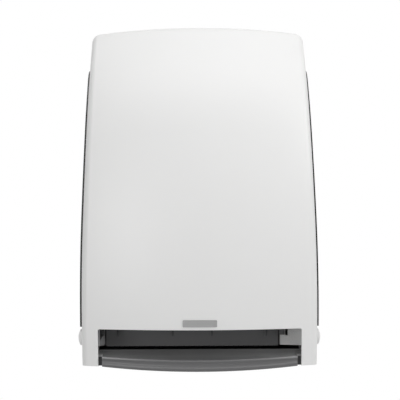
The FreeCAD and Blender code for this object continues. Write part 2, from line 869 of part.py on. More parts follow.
def side_frame(name, side):
    """A flat frame wall with feet on the back plate; it carries the shafts in bushes."""
    inner = S.frame_inner
    outer = S.frame_outer
    rear = -S.plate_thickness
    front = frame_front(side)
    slope = (S.cheek_front_bottom - S.cheek_rear_bottom) / (S.cheek_front_depth - S.cheek_rear_depth)
    front_bottom = S.cheek_rear_bottom + (front - S.cheek_rear_depth) * slope
    corners = [
        (rear, level(S.frame_top)),
        (rear, level(S.cheek_rear_bottom)),
        (-S.cheek_rear_depth, level(S.cheek_rear_bottom)),
        (-front, level(front_bottom)),
        (-front, level(S.cheek_top)),
        (-S.cheek_rear_depth - S.frame_shoulder, level(S.cheek_top)),
        (-S.cheek_rear_depth - S.frame_nose, level(S.frame_top)),
    ]
    bush = S.lever_shaft_radius + S.bush_wall
    holes = [
        (-S.lever_depth, level(S.lever_height), bush),
        (-S.feed_depth, level(S.feed_height), bush),
        (-S.pivot_depth, level(S.pivot_height), S.pivot_radius),
        (-S.keeper_screw_depth, level(S.keeper_screw_height), S.small_screw_radius),
    ]
    if side > 0:
        y, z = idler_centre()
        holes.append((as_size(y), as_size(z), S.idler_pin_radius))
    wall = plate(name + "_wall", "x", mirror_span(side, inner, outer), corners, holes)
    rounded(wall, S.frame_corner, [corners[5], corners[6], corners[0]], "x")
    feet = foot_blocks(name, mirror_span(side, outer, outer + S.foot_width))
    holes = [foot_bore(f"{name}_bore{i}", x, z) for i, (x, z) in enumerate(foot_screw_places())]
    if side > 0:
        return cut(name, join(name + "_solid", [wall] + feet), holes)
    window_depth = (-S.frame_window_front, S.gap - S.hook_rear)
    window_height = (level(S.hook_window_low), level(S.hook_window_high))
    window = box(name + "_window", mirror_span(side, inner - 1.0, outer + 1.0), window_depth, window_height)
    return cut(name, join(name + "_solid", [wall] + feet), holes + [window])


def foot_blocks(name, width):
    """Two feet that lie on the back plate."""
    depth = (-S.plate_thickness - S.foot_wall, -S.plate_thickness)
    tall = S.foot_tall / 2
    return [
        box(f"{name}_foot{i}", width, depth, (level(height) - tall, level(height) + tall))
        for i, height in enumerate((S.foot_low, S.foot_high))
    ]


def foot_bore(name, x, z):
    """A screw hole through a foot on the back plate."""
    face = -S.plate_thickness
    return rod(name, "y", S.screw_radius, (face - S.foot_wall - 1.0, face), (x, z))


def gear_wall():
    """The light wall between the towels and the gears."""
    inner = S.gear_wall_inner
    outer = inner + S.gear_wall_thickness
    rear = -S.plate_thickness
    front = -S.cheek_rear_depth
    corners = [
        (rear, level(S.frame_top)),
        (rear, level(S.cheek_rear_bottom)),
        (front, level(S.cheek_rear_bottom)),
        (front, level(S.cheek_top)),
        (front - S.frame_nose, level(S.cheek_top) + S.gear_room),
        (front - S.frame_nose, level(S.frame_top)),
    ]
    y, z = idler_centre()
    holes = [
        (-S.lever_depth, level(S.lever_height), S.lever_shaft_radius + 1.0),
        (-S.feed_depth, level(S.feed_height), S.feed_shaft_radius + 1.0),
        (-S.pivot_depth, level(S.pivot_height), S.pivot_radius),
        (as_size(y), as_size(z), S.idler_pin_radius),
    ]
    wall = plate("gear_wall_sheet", "x", (inner, outer), corners, holes)
    feet = foot_blocks("gear_wall", (inner - S.foot_width, inner))
    bores = [foot_bore(f"gear_wall_bore{i}", x, z) for i, (x, z) in enumerate(foot_screw_places())]
    return cut("gear_wall", join("gear_wall_solid", [wall] + feet), bores)


def throat_cheek():
    """The slanted white panel that hides the gears from the front."""
    front_x = S.frame_outer
    rear_x = S.gear_wall_inner
    thick = S.gear_wall_thickness
    front = -S.cheek_front_depth
    rear = -S.cheek_rear_depth
    plan = [(front_x, front), (front_x + thick, front), (rear_x + thick, rear), (rear_x, rear)]
    panel = plate("throat_cheek_plan", "z", (level(S.plate_bottom), level(S.cheek_top)), plan)
    side = [
        (front, level(S.cheek_front_bottom)),
        (rear, level(S.cheek_rear_bottom)),
        (rear, level(S.cheek_top)),
        (front, level(S.cheek_top)),
    ]
    width = (rear_x - 1.0, front_x + thick + 1.0)
    trim = plate("throat_cheek_side", "x", width, side)
    window_rear = -S.hook_rear + S.hook_wall * 2
    window = box("throat_cheek_window", width, (window_rear - S.cheek_window_long, window_rear),
                 (level(S.hook_window_low), level(S.hook_window_high)))
    return cut("throat_cheek", common("throat_cheek_panel", panel, trim), [window])


def front_guide():
    """The dark wall in front of the hanging towel, with short ribs and a hook at each end.

    The left hook's nose stands in the side frame's window, the right one beside the cheek's.
    """
    front = -S.guide_front
    rear = front + S.guide_wall
    top = level(S.guide_top)
    bottom = level(S.guide_bottom)
    corners = [
        (front, bottom),
        (rear, bottom),
        (rear, top),
        (front - S.guide_lip, top),
        (front - S.guide_lip, top - S.guide_wall),
        (front, top - S.guide_wall),
    ]
    pieces = [plate("front_guide_wall", "x", (-S.guide_left, S.guide_right), corners)]
    offsets = (-S.rib_outer_offset, -S.rib_inner_offset, S.rib_inner_offset, S.rib_outer_offset)
    for i, offset in enumerate(offsets):
        middle = S.path_middle + offset
        width = (middle - S.rib_width / 2, middle + S.rib_width / 2)
        ribs_bottom = bottom + S.rib_clear
        depth = (front - S.rib_rise, front)
        pieces.append(box(f"front_guide_rib{i}", width, depth, (ribs_bottom, top - S.guide_wall)))
    lug_top = top - S.guide_wall * 4 / 3
    lug_height = (lug_top - S.guide_lug_tall, lug_top)
    lug_depth = (-S.hook_front, rear)
    hook_depth = (-S.hook_front, -S.hook_rear)
    hook_bottom = level(S.hook_window_low) + S.gap
    left = -S.frame_inner
    inner_left = left + S.hook_wall
    nose_height = (hook_bottom, level(S.hook_window_high) - S.gap)
    slope = (S.frame_outer - S.gear_wall_inner) / (S.cheek_front_depth - S.cheek_rear_depth)
    right = S.gear_wall_inner + (S.hook_rear - S.cheek_rear_depth) * slope - S.gap
    pieces += [
        box("front_guide_lug_left", (left, -S.guide_left), lug_depth, lug_height),
        box("front_guide_hook_left", (left, inner_left), hook_depth, (hook_bottom, lug_top)),
        box("front_guide_nose_left", (left - S.hook_nose, left), hook_depth, nose_height),
        box("front_guide_lug_right", (S.guide_right, S.gear_wall_inner), lug_depth, lug_height),
        box("front_guide_hook_right", (S.guide_right, right), hook_depth, (hook_bottom, lug_top)),
    ]
    return join("front_guide", pieces)


def tear_blade():
    """A steel strip behind the guide's lower edge; its teeth are one tooth in a row."""
    left = -S.guide_left + S.blade_inset
    right = S.guide_right - S.blade_inset
    low = -S.guide_front + S.guide_wall
    high = low + S.blade_thickness
    bottom = level(S.guide_bottom) + S.blade_inset
    body = plate("tear_blade", "y", (low, high), [
        (left, bottom), (right, bottom), (right, bottom + S.blade_tall), (left, bottom + S.blade_tall),
    ])
    sketch = sketch_on(body, "tear_blade_tooth", "y", -high)
    outline(sketch, [
        (left, bottom + S.blade_inset),
        (left, bottom),
        (left + S.tooth_pitch / 2, bottom - S.tooth_tall),
        (left + S.tooth_pitch, bottom),
        (left + S.tooth_pitch, bottom + S.blade_inset),
    ])
    tooth = body.newObject("PartDesign::Pad", "tear_blade_tooth_pad")
    tooth.Profile = sketch
    bind(tooth, "Length", high - low)
    count = int((right.value - left.value) / S.tooth_pitch.value)
    row = body.newObject("PartDesign::LinearPattern", "tear_blade_row")
    row.Originals = [tooth]
    row.Direction = (sketch, ["H_Axis"])
    bind(row, "Length", S.tooth_pitch * (count - 1))
    row.Occurrences = count
    body.Tip = row
    return body


def rear_chute():
    """The wall behind the hanging towel; its top edge bends back under the feed roller."""
    wall = S.chute_wall
    front = -S.chute_depth
    rear = front + wall
    top = level(S.chute_top)
    bottom = level(S.guide_bottom)
    corners = [
        (front, bottom),
        (rear, bottom),
        (rear, top - 3 * wall),
        (rear + 2 * wall, top - wall),
        (rear + wall, top),
        (front, top - 3 * wall),
    ]
    return plate("rear_chute", "x", (-S.frame_inner, S.gear_wall_inner), corners)


# ---- lever ----

def bar_section(x):
    """The bar's channel section at one place along its length: scoop, ridge, groove, lip and web."""
    share = (x / S.bar_half_width.value) ** 2
    wall = S.bar_wall.value
    axis = S.plan_radius.value - S.front_reach.value
    front = axis - math.sqrt((S.bar_front.value + axis) ** 2 - x * x)
    drop = S.legs_drop.value
    ridge = S.bar_ridge_middle.value * (1 - share) + S.bar_ridge_end.value * share - drop
    bottom = S.bar_bottom_middle.value * (1 - share) + S.bar_bottom_end.value * share - drop
    rear = -S.bar_rear.value
    top = level(S.bar_top).value
    web_bottom = level(S.bar_web_bottom).value
    nose = S.bar_nose.value
    toe_depth = S.bar_toe.value

    def at(y, z):
        return Vector(x, y, z)

    heel = at(rear, top)
    crest = at(front + nose, ridge + S.bar_nose_rise.value)
    scoop = at((heel.y + crest.y) / 2, (heel.z + crest.z) / 2 - S.bar_scoop.value)
    under_crest = at(front + nose / 3, ridge - S.bar_nose_fall.value)
    over_lip = at(front + nose / 5, bottom + S.bar_lip_tall.value)
    groove = at(front + S.bar_groove.value, (under_crest.z + over_lip.z) / 2)
    toe = at(front + toe_depth, bottom)
    inner_front = front + toe_depth + wall
    inner_crest = at(inner_front, ridge - nose - wall)
    inner_heel = at(rear - wall, top - wall * 4 / 3)
    inner_scoop = at(scoop.y, scoop.z - wall)
    edges = [
        arc_between(heel, scoop, crest),
        arc_between(crest, at(front, ridge - S.bar_nose_rise.value), under_crest),
        arc_between(under_crest, groove, over_lip),
        arc_between(over_lip, at(front + nose / 3, bottom + nose), toe),
        Part.makeLine(toe, at(inner_front, bottom)),
        Part.makeLine(at(inner_front, bottom), inner_crest),
        arc_between(inner_crest, inner_scoop, inner_heel),
        Part.makeLine(inner_heel, at(rear - wall, web_bottom)),
        Part.makeLine(at(rear - wall, web_bottom), at(rear, web_bottom)),
        Part.makeLine(at(rear, web_bottom), heel),
    ]
    return Part.Wire(edges)


def lever_bar():
    """The scooped push bar, lofted through three sections, with two end flanges behind the legs."""
    half = S.bar_half_width.value
    bar = Part.makeLoft([bar_section(x) for x in (-half, 0.0, half)], True, False)
    wall = S.bar_wall.value
    rear = -S.bar_rear.value
    front = -S.bar_flange_front.value
    middle = (rear + front) / 2
    top = level(S.bar_top).value
    low = top - S.flange_fall.value
    sag = top - S.flange_sag.value
    root = top - S.flange_tall.value
    heel = Vector(0, rear - wall, top - wall * 3 / 2)
    upper = arc_between(Vector(0, rear, top), Vector(0, middle, sag), Vector(0, front, low))
    lower = arc_between(Vector(0, front, low - wall), Vector(0, middle, sag - wall), heel)
    flange = Part.Face(Part.Wire([
        upper,
        Part.makeLine(Vector(0, front, low), Vector(0, front, low - wall)),
        lower,
        Part.makeLine(heel, Vector(0, rear - wall, root)),
        Part.makeLine(Vector(0, rear - wall, root), Vector(0, rear, root)),
        Part.makeLine(Vector(0, rear, root), Vector(0, rear, top)),
    ]))
    reach = S.bar_flange_half_width.value - half
    for side in (-1, 1):
        end = flange.extrude(Vector(side * reach, 0, 0))
        end.translate(Vector(side * half, 0, 0))
        bar = bar.fuse(end)
    for x, z in lever_screw_places():
        bar = bar.cut(bolt("y", S.screw_radius.value, (rear - wall - OVER, rear + OVER), (x.value, z.value)))
    return shaped("lever_bar", bar)


def lever_screw_places():
    """Where the bar is screwed to the arms' feet, as pairs of X and Z sizes."""
    across = (S.arm_foot_inner + S.bar_half_width) / 2
    return [(side * across, level(z)) for side in (-1, 1) for z in (S.lever_screw_low, S.lever_screw_high)]


def lever_arm(name, side):
    """A flat arm from its hub on the shaft to a foot behind the bar."""
    inner = S.arm_inner
    outer = S.arm_outer
    y = -S.lever_depth
    z = level(S.lever_height)
    rear = -S.bar_rear
    width = mirror_span(side, inner, outer)
    corners = [
        (y, z + S.arm_half_height),
        (y, z - S.arm_half_height),
        (rear, level(S.arm_foot_bottom)),
        (rear, level(S.arm_foot_top)),
    ]
    web = plate(name + "_web", "x", width, corners)
    hub = rod(name + "_hub", "x", S.arm_hub_radius, width, (y, z))
    wall = S.arm_foot_wall
    foot = box(name + "_foot", mirror_span(side, S.arm_foot_inner, outer), (rear, rear + wall),
               (level(S.arm_foot_bottom), level(S.arm_foot_top)))
    wide = mirror_span(side, inner - 1.0, outer + 1.0)
    holes = [rod(name + "_bore", "x", S.lever_shaft_radius, wide, (y, z))]
    for i, (x, height) in enumerate(lever_screw_places()):
        deep = (rear - wall, rear + 2 * wall)
        holes.append(rod(f"{name}_hole{i}", "y", S.screw_radius, deep, (x, height)))
    return cut(name, join(name + "_solid", [web, hub, foot]), holes)


# ---- gears ----

def idler_centre():
    """Where the idler's axis meshes with both the sector and the clutch gear, as Y and Z values."""
    module = S.gear_module.value
    to_sector = module * (S.sector_teeth.value + S.pinion_teeth.value) / 2
    to_clutch = module * (S.idler_teeth.value + S.clutch_teeth.value) / 2
    lever = Vector(0, -S.lever_depth.value, level(S.lever_height).value)
    feed = Vector(0, -S.feed_depth.value, level(S.feed_height).value)
    line = feed - lever
    reach = line.Length
    along = (to_sector ** 2 - to_clutch ** 2 + reach ** 2) / (2 * reach)
    aside = math.sqrt(to_sector ** 2 - along ** 2)
    unit = line / reach
    spot = lever + unit * along + Vector(0, unit.z, -unit.y) * aside
    return spot.y, spot.z


def direction(start, end):
    """The angle of the line from one (Y, Z) to another, from +Y towards +Z, in degrees."""
    return math.degrees(math.atan2(end[1] - start[1], end[0] - start[0]))


def gear(name, teeth, along, centre, first_angle, bore, count=None):
    """A spur gear on an axis along X: a root disc and one tooth in a polar pattern.

    first_angle is where the first tooth points; count limits the row of teeth.
    """
    low, high = [as_size(bound) for bound in along]
    module = S.gear_module
    pitch = module * teeth / 2
    addendum = module * 0.9
    dedendum = module * 1.25
    root = pitch - dedendum
    tip = pitch + addendum
    half = module * (math.pi / 4) - S.tooth_play
    flank = math.tan(math.radians(20.0))
    root_half = half + dedendum * flank
    tip_half = half - addendum * flank
    body = new("PartDesign::Body", name)
    disc = sketch_on(body, name + "_disc", "x", low)
    circle(disc, 0, 0, root)
    circle(disc, 0, 0, bore)
    blank = body.newObject("PartDesign::Pad", name + "_blank")
    blank.Profile = disc
    bind(blank, "Length", high - low)
    flanks = sketch_on(body, name + "_flanks", "x", low)
    outline(flanks, [(-root_half, root - 0.4), (root_half, root - 0.4), (tip_half, tip), (-tip_half, tip)])
    tooth = body.newObject("PartDesign::Pad", name + "_tooth")
    tooth.Profile = flanks
    bind(tooth, "Length", high - low)
    ring = body.newObject("PartDesign::PolarPattern", name + "_teeth")
    ring.Originals = [tooth]
    ring.Axis = (flanks, ["N_Axis"])
    whole = int(teeth.value)
    ring.Occurrences = count or whole
    ring.Angle = 360.0 if count is None else 360.0 / whole * (count - 1)
    body.Tip = ring
    place(body, 0, centre[0], centre[1], Rotation(Vector(1, 0, 0), first_angle - 90.0))
    return body


def gear_parts():
    """The lever's toothed sector, the two-step idler with its pin, and the clutch gear.

    The sector keeps a few teeth of a whole wheel, some of them before the idler at rest.
    """
    lever = (-S.lever_depth, level(S.lever_height))
    feed = (-S.feed_depth, level(S.feed_height))
    idler = tuple(as_size(number) for number in idler_centre())
    width = S.gear_width
    sector_span = (S.sector_place, S.sector_place + width)
    idler_span = (S.idler_place, S.idler_place + width)

    def values(pair):
        return [size.value for size in pair]

    mesh = direction(values(lever), values(idler))
    step = 360.0 / S.sector_teeth.value
    kept = int(S.sector_teeth_kept.value)
    before = int(S.sector_teeth_before.value)
    teeth = gear("sector_teeth_ring", S.sector_teeth, sector_span, lever, mesh - before * step,
                 S.lever_shaft_radius, kept)
    wedge_reach = S.gear_module * S.sector_teeth
    fan = []
    for angle in (mesh - (before + 1.2) * step, mesh + (kept - before + 0.2) * step):
        turn = math.radians(angle)
        fan.append((lever[0] + wedge_reach * math.cos(turn), lever[1] + wedge_reach * math.sin(turn)))
    wedge = plate("sector_wedge", "x", sector_span, [(lever[0], lever[1] - S.bush_wall), fan[0], fan[1]])
    hub = rod("sector_hub_zone", "x", S.arm_hub_radius, sector_span, lever)
    common("sector_gear", teeth, join("sector_zone", [wedge, hub]))

    pitch = 360.0 / S.pinion_teeth.value
    pinion = gear("idler_pinion", S.pinion_teeth, sector_span, idler, mesh + 180.0 + pitch / 2,
                  S.idler_pin_radius + S.running_fit)
    mesh = direction(values(idler), values(feed))
    wheel = gear("idler_wheel", S.idler_teeth, idler_span, idler, mesh, S.idler_pin_radius + S.running_fit)
    collar = tube("idler_collar", "x", S.idler_pin_radius + S.bush_wall, S.idler_pin_radius + S.running_fit,
                  (S.sector_place - S.gear_gap / 2, S.frame_inner - S.gear_gap / 2), idler)
    join("idler_gear", [pinion, wheel, collar])
    rod("idler_pin", "x", S.idler_pin_radius, (S.gear_wall_inner, S.frame_outer), idler)

    pitch = 360.0 / S.clutch_teeth.value
    ring = gear("clutch_ring", S.clutch_teeth, idler_span, feed, mesh + 180.0 + pitch / 2,
                S.feed_shaft_radius + S.running_fit)
    drum = tube("clutch_drum", "x", S.clutch_drum_radius, S.feed_shaft_radius + S.running_fit,
                (S.idler_place + width, S.frame_inner - S.bush_flange - S.gap), feed)
    join("clutch_gear", [ring, drum])


# ---- rollers ----

def bushes(name, depth, height):
    """Two flanged bushes in the side frames."""
    centre = (-depth, level(height))
    inner = S.frame_inner
    outer = S.frame_outer + S.bush_flange / 2
    flange = inner - S.bush_flange
    outside = S.lever_shaft_radius + S.bush_wall
    pair = []
    for side, word in ((-1, "left"), (1, "right")):
        sleeve = rod(f"{name}_{word}_sleeve", "x", outside, mirror_span(side, inner, outer), centre)
        collar = rod(f"{name}_{word}_collar", "x", outside + S.bush_flange,
                     mirror_span(side, flange, inner), centre)
        bore = rod(f"{name}_{word}_bore", "x", S.lever_shaft_radius + S.running_fit,
                   mirror_span(side, flange - 1.0, outer + 1.0), centre)
        pair.append(cut(f"{name}_{word}", join(f"{name}_{word}_solid", [sleeve, collar]), [bore]))
    return group(name, pair)


def feed_parts():
    """The feed shaft, its four rubber sleeves and the hand wheel."""
    centre = (-S.feed_depth, level(S.feed_height))
    end = S.frame_outer + S.bush_flange
    rod("feed_shaft", "x", S.feed_shaft_radius, (-end, end), centre)
    group("feed_roller_sleeves", [
        tube(f"feed_sleeve{i}", "x", S.feed_roller_radius, S.feed_shaft_radius, span, centre)
        for i, span in enumerate(roller_spans())
    ])
    wheel_left = -S.frame_inner + S.bush_flange + S.gap
    wheel_span = (wheel_left, wheel_left + S.feed_wheel_width)
    rim = tube("feed_wheel_rim", "x", S.feed_wheel_radius, S.feed_shaft_radius, wheel_span, centre)
    grips = []
    count = int(S.feed_grips.value)
    reach = S.feed_wheel_radius
    along = (wheel_span[0] - 1.0, wheel_span[1] + 1.0)
    for i in range(count):
        turn = 2 * math.pi * i / count
        spot = (centre[0] + reach * math.cos(turn), centre[1] + reach * math.sin(turn))
        grips.append(rod(f"feed_wheel_grip{i}", "x", S.feed_grip_radius, along, spot))
    cut("feed_wheel", rim, grips)


def roller_spans():
    """The widths that the four roller rings take along their shafts."""
    half = S.roller_length / 2
    spans = []
    for offset in (-S.roller_far, -S.roller_near, S.roller_near, S.roller_far):
        middle = S.path_middle + offset
        spans.append((middle - half, middle + half))
    return spans


def pressure_parts():
    """The swinging pressure frame on its rod, with a fixed shaft and four loose rings."""
    depth = S.feed_depth + S.feed_roller_radius + S.roller_gap + S.pressure_roller_radius
    centre = (-depth, level(S.feed_height))
    pivot = (-S.pivot_depth, level(S.pivot_height))
    rod_end = S.gear_wall_inner + S.gear_wall_thickness
    rod("pressure_rod", "x", S.pivot_radius, (-S.frame_outer, rod_end), pivot)
    inner = S.roller_far + S.roller_length / 2 + S.pressure_arm_gap
    outer = inner + S.pressure_arm_wall
    waist = S.pressure_arm_wall * 2
    bar_rear = centre[0] - S.pressure_bar_setback
    bar_height = (centre[1] + S.pressure_bar_low, centre[1] + S.pressure_bar_high)
    bar_depth = (bar_rear - S.pressure_arm_wall, bar_rear)
    solids = []
    holes = []
    for side, word in ((-1, "left"), (1, "right")):
        low, high = mirror_span(side, inner, outer)
        span = (S.path_middle + low, S.path_middle + high)
        name = f"pressure_frame_{word}"
        solids.append(plate(name, "x", span, [
            (pivot[0] - waist, pivot[1]), (centre[0] - waist, centre[1]),
            (centre[0] + waist, centre[1]), (pivot[0] + waist, pivot[1]),
        ]))
        solids.append(rod(name + "_top", "x", S.pivot_radius + S.pressure_eye_wall, span, pivot))
        solids.append(rod(name + "_low", "x", S.pressure_shaft_radius + S.pressure_eye_wall, span, centre))
        solids.append(box(name + "_link", span, (bar_depth[0], pivot[0]), bar_height))
        wide = (span[0] - 1.0, span[1] + 1.0)
        holes.append(rod(name + "_pivot_bore", "x", S.pivot_radius + S.running_fit, wide, pivot))
        holes.append(rod(name + "_shaft_bore", "x", S.pressure_shaft_radius, wide, centre))
    width = (S.path_middle - outer, S.path_middle + outer)
    solids.append(box("pressure_frame_bar", width, bar_depth, bar_height))
    cut("pressure_frame", join("pressure_frame_solid", solids), holes)
    rod("pressure_shaft", "x", S.pressure_shaft_radius, width, centre)
    bore = S.pressure_shaft_radius + S.running_fit
    group("pressure_rollers", [
        tube(f"pressure_ring{i}", "x", S.pressure_roller_radius, bore, span, centre)
        for i, span in enumerate(roller_spans())
    ])
    wire = S.pressure_spring_wire.value
    turns = S.pressure_spring_turns.value
    half_coil = turns * wire * S.spring_pitch.value / 2
    left = (-S.frame_inner.value + width[0].value) / 2
    right = (S.gear_wall_inner.value + width[1].value) / 2
    group("pressure_springs", [
        coil(f"pressure_spring_{word}", (middle - half_coil, pivot[0].value, pivot[1].value),
             S.pivot_radius.value + S.spring_play.value, wire, turns)
        for word, middle in (("left", left), ("right", right))
    ])


def coil(name, start, inner_radius, wire, turns):
    """A spring of square wire wound along +X round an axis."""
    pitch = wire * S.spring_pitch.value
    half = wire / 2
    radius = inner_radius + half
    helix = Part.makeHelix(pitch, pitch * turns, radius)
    corners = [
        Vector(radius - half, 0, -half), Vector(radius + half, 0, -half),
        Vector(radius + half, 0, half), Vector(radius - half, 0, half),
    ]
    section = Part.makePolygon(corners + corners[:1])
    item = shaped(name, Part.Wire(helix.Edges).makePipeShell([section], True, True))
    item.Placement = Placement(Vector(start[0] + half, start[1], start[2]), TURNS["x"])
    return item


# ---- roll holders ----

def roll_holders():
    """A fixed arm on the right, a hinged one on the left, and a turning hub on each."""
    depth = -S.roll_depth
    height = level(S.roll_height)
    plate_front = -S.plate_thickness
    foot_front = plate_front - S.foot_wall
    tall = S.holder_half_height
    centre = (depth, height)
    right = S.path_middle + S.roll_half_width + S.roll_play
    left = S.path_middle - S.roll_half_width - S.roll_play
    thick = S.roll_arm_thickness

    def blade_of(name, span, root_depth, root_half):
        tip = S.roll_arm_tip
        web = plate(name + "_web", "x", span, [
            (root_depth, height + root_half), (root_depth, height - root_half),
            (depth, height - tip), (depth, height + tip),
        ])
        return [web, rod(name + "_tip", "x", tip, span, centre)]

    solids = blade_of("roll_arm_right", (right, right + thick), plate_front, tall)
    solids.append(box("roll_arm_right_foot", (right, right + S.holder_screw_reach + S.holder_edge),
                      (foot_front, plate_front), (height - tall, height + tall)))
    solids.append(rod("roll_arm_right_stub", "x", S.roll_stub_radius, (right - S.roll_stub, right), centre))
    places = holder_screw_places()
    bores = [foot_bore(f"roll_arm_right_bore{i}", *spot) for i, spot in enumerate(places[2:])]
    cut("roll_arm_right", join("roll_arm_right_solid", solids), bores)

    pin_x = left - thick / 2
    pin_y = -S.knuckle_depth
    knuckle = (pin_x, pin_y)
    bounds = (height - S.knuckle_half_height, height + S.knuckle_half_height)
    solids = blade_of("roll_arm_left", (left - thick, left), pin_y, S.knuckle_half_height)
    solids.append(rod("roll_arm_left_knuckle", "z", S.knuckle_radius, bounds, knuckle))
    solids.append(rod("roll_arm_left_stub", "x", S.roll_stub_radius, (left, left + S.roll_stub), centre))
    bore = rod("roll_arm_left_bore", "z", S.pin_radius + S.running_fit,
               (bounds[0] - 1.0, bounds[1] + 1.0), knuckle)
    cut("roll_arm_left", join("roll_arm_left_solid", solids), [bore])

    base = box("roll_bracket_base", (pin_x - S.bracket_left, left + S.bracket_right),
               (foot_front, plate_front), (height - tall, height + tall))
    ear_low = S.knuckle_half_height + S.gap
    ears = []
    for word, low, high in (("low", -tall, -ear_low), ("high", ear_low, tall)):
        ears.append(box(f"roll_bracket_{word}", (pin_x - S.knuckle_radius, pin_x + S.knuckle_radius),
                        (pin_y - S.knuckle_radius, foot_front), (height + low, height + high)))
    bores = [foot_bore(f"roll_bracket_bore{i}", *spot) for i, spot in enumerate(places[:2])]
    tall_bore = (height - tall - 1.0, height + tall + 1.0)
    bores.append(rod("roll_bracket_pin_bore", "z", S.pin_radius, tall_bore, knuckle))
    cut("roll_bracket", join("roll_bracket_solid", [base] + ears), bores)
    rod("roll_arm_pin", "z", S.pin_radius, (height - tall, height + tall), knuckle)

    for name, side, face in (("roll_hub_left", 1, left), ("roll_hub_right", -1, right)):
        def span(low, high):
            return (face + low, face + high) if side > 0 else (face - high, face - low)
        flange = rod(name + "_flange", "x", S.roll_hub_radius + S.roll_hub_flange,
                     span(S.gap, S.roll_play), centre)
        spigot = rod(name + "_spigot", "x", S.roll_hub_radius,
                     span(S.gap, S.roll_play + S.roll_hub_long), centre)
        bore = rod(name + "_bore", "x", S.roll_stub_radius + S.running_fit,
                   span(0.0, S.roll_stub + 1.0), centre)
        cut(name, join(name + "_solid", [flange, spigot]), [bore])


# ---- latches ----

def release_button(name, side):
    """A domed cap, its stem through the cover's cup, and the catch behind the keeper's lip."""
    wall_inside = S.cover_half_width - S.cover_wall
    cup_inside = wall_inside - S.cup_depth
    centre = (-S.button_depth, level(S.button_height))
    rim = cup_inside + S.cup_floor + S.button_travel + S.gap
    reach = S.button_reach
    span = mirror_span(side, rim, reach)
    dome_radius = (S.button_radius * S.button_radius + S.dome_rise * S.dome_rise) / (S.dome_rise * 2)
    ball = new("Part::Sphere", name + "_ball")
    bind(ball, "Radius", dome_radius)
    place(ball, (reach - dome_radius) * side, *centre)
    cap = common(name + "_cap", rod(name + "_disc", "x", S.button_radius, span, centre), ball)
    roof = reach - S.dome_rise - S.cup_floor
    hollow = rod(name + "_hollow", "x", S.button_radius - S.button_wall,
                 mirror_span(side, rim - 1.0, roof), centre)
    shell = cut(name + "_shell", cap, [hollow])
    catch_outer = cup_inside - S.gap
    catch_inner = catch_outer - S.catch_width
    stem = rod(name + "_stem", "x", S.stem_radius, mirror_span(side, catch_inner, roof), centre)
    catch = rod(name + "_catch", "x", S.catch_radius, mirror_span(side, catch_inner, catch_outer), centre)
    join(name, [shell, stem, catch])


def button_spring(name, side):
    """A cone washer under the cap, drawn as flat as it is with the button pressed."""
    roof = S.button_reach - S.dome_rise - S.cup_floor
    tall = roof - S.button_travel - S.gap - (S.cover_half_width - S.cover_wall - S.cup_depth + S.cup_floor)
    centre = (-S.button_depth, level(S.button_height))
    wall = S.button_spring_wall
    narrow = S.stem_radius + 2 * wall
    wide = S.button_radius - S.button_wall - S.gap
    cones = []
    for word, grow in (("outside", 0.0), ("inside", wall)):
        cone = new("Part::Cone", f"{name}_{word}")
        bind(cone, "Radius1", wide - grow)
        bind(cone, "Radius2", narrow - grow)
        bind(cone, "Height", tall)
        turn = Rotation(Vector(0, 1, 0), 90.0 * side)
        place(cone, (roof - tall - grow) * side, *centre, turn)
        cones.append(cone)
    bore = rod(name + "_bore", "x", S.stem_radius, mirror_span(side, roof - tall - 1.0, roof + 1.0), centre)
    return cut(name, cones[0], [cones[1], bore])


def latch_keeper(name, side):
    """A bracket on the side frame with a lip that stands in front of the button's catch."""
    outer = S.frame_outer
    reach = S.cover_half_width - S.cover_wall - S.cup_depth - S.gap
    lip_inner = reach - S.catch_width + S.gap
    front_face = S.button_depth + S.catch_radius + S.gap
    front = -front_face - S.keeper_front
    rear = -S.button_depth + S.keeper_rear
    height = level(S.button_height)
    floor_top = height - S.catch_radius - S.gap
    floor = (floor_top - S.keeper_wall, floor_top)
    flange_top = level(S.keeper_screw_height) + S.keeper_wall * 3 / 2
    solids = [
        box(name + "_flange", mirror_span(side, outer, outer + S.keeper_wall), (front, rear),
            (floor[0], flange_top)),
        box(name + "_floor", mirror_span(side, outer, reach), (front, rear), floor),
        box(name + "_lip", mirror_span(side, lip_inner, reach), (front, -front_face),
            (floor[0], height - S.catch_radius + S.lip_rise)),
    ]
    through = mirror_span(side, outer - S.keeper_wall, outer + 2 * S.keeper_wall)
    bore = rod(name + "_bore", "x", S.small_screw_radius, through,
               (-S.keeper_screw_depth, level(S.keeper_screw_height)))
    cut(name, join(name + "_solid", solids), [bore])


# ---- pins, screws and stops ----

def hex_rod(name, axis, radius, along, across):
    """A six-sided bar along an axis between two bounds."""
    low, high = along
    item = new("Part::Prism", name)
    item.Polygon = 6
    bind(item, "Circumradius", radius)
    bind(item, "Height", high - low)
    return place(item, *spot_on(axis, low, across), TURNS[axis])


def hex_screw(name, axis, radius, tip, seat, across, head_side):
    """A hexagon-head screw from its tip to its seat, with the head beyond the seat."""
    shank = (tip, seat) if head_side > 0 else (seat, tip)
    head = (seat, seat + S.screw_head) if head_side > 0 else (seat - S.screw_head, seat)
    return join(name, [
        hex_rod(name + "_shank", axis, radius, shank, across),
        hex_rod(name + "_head", axis, radius + S.screw_head_step, head, across),
    ])


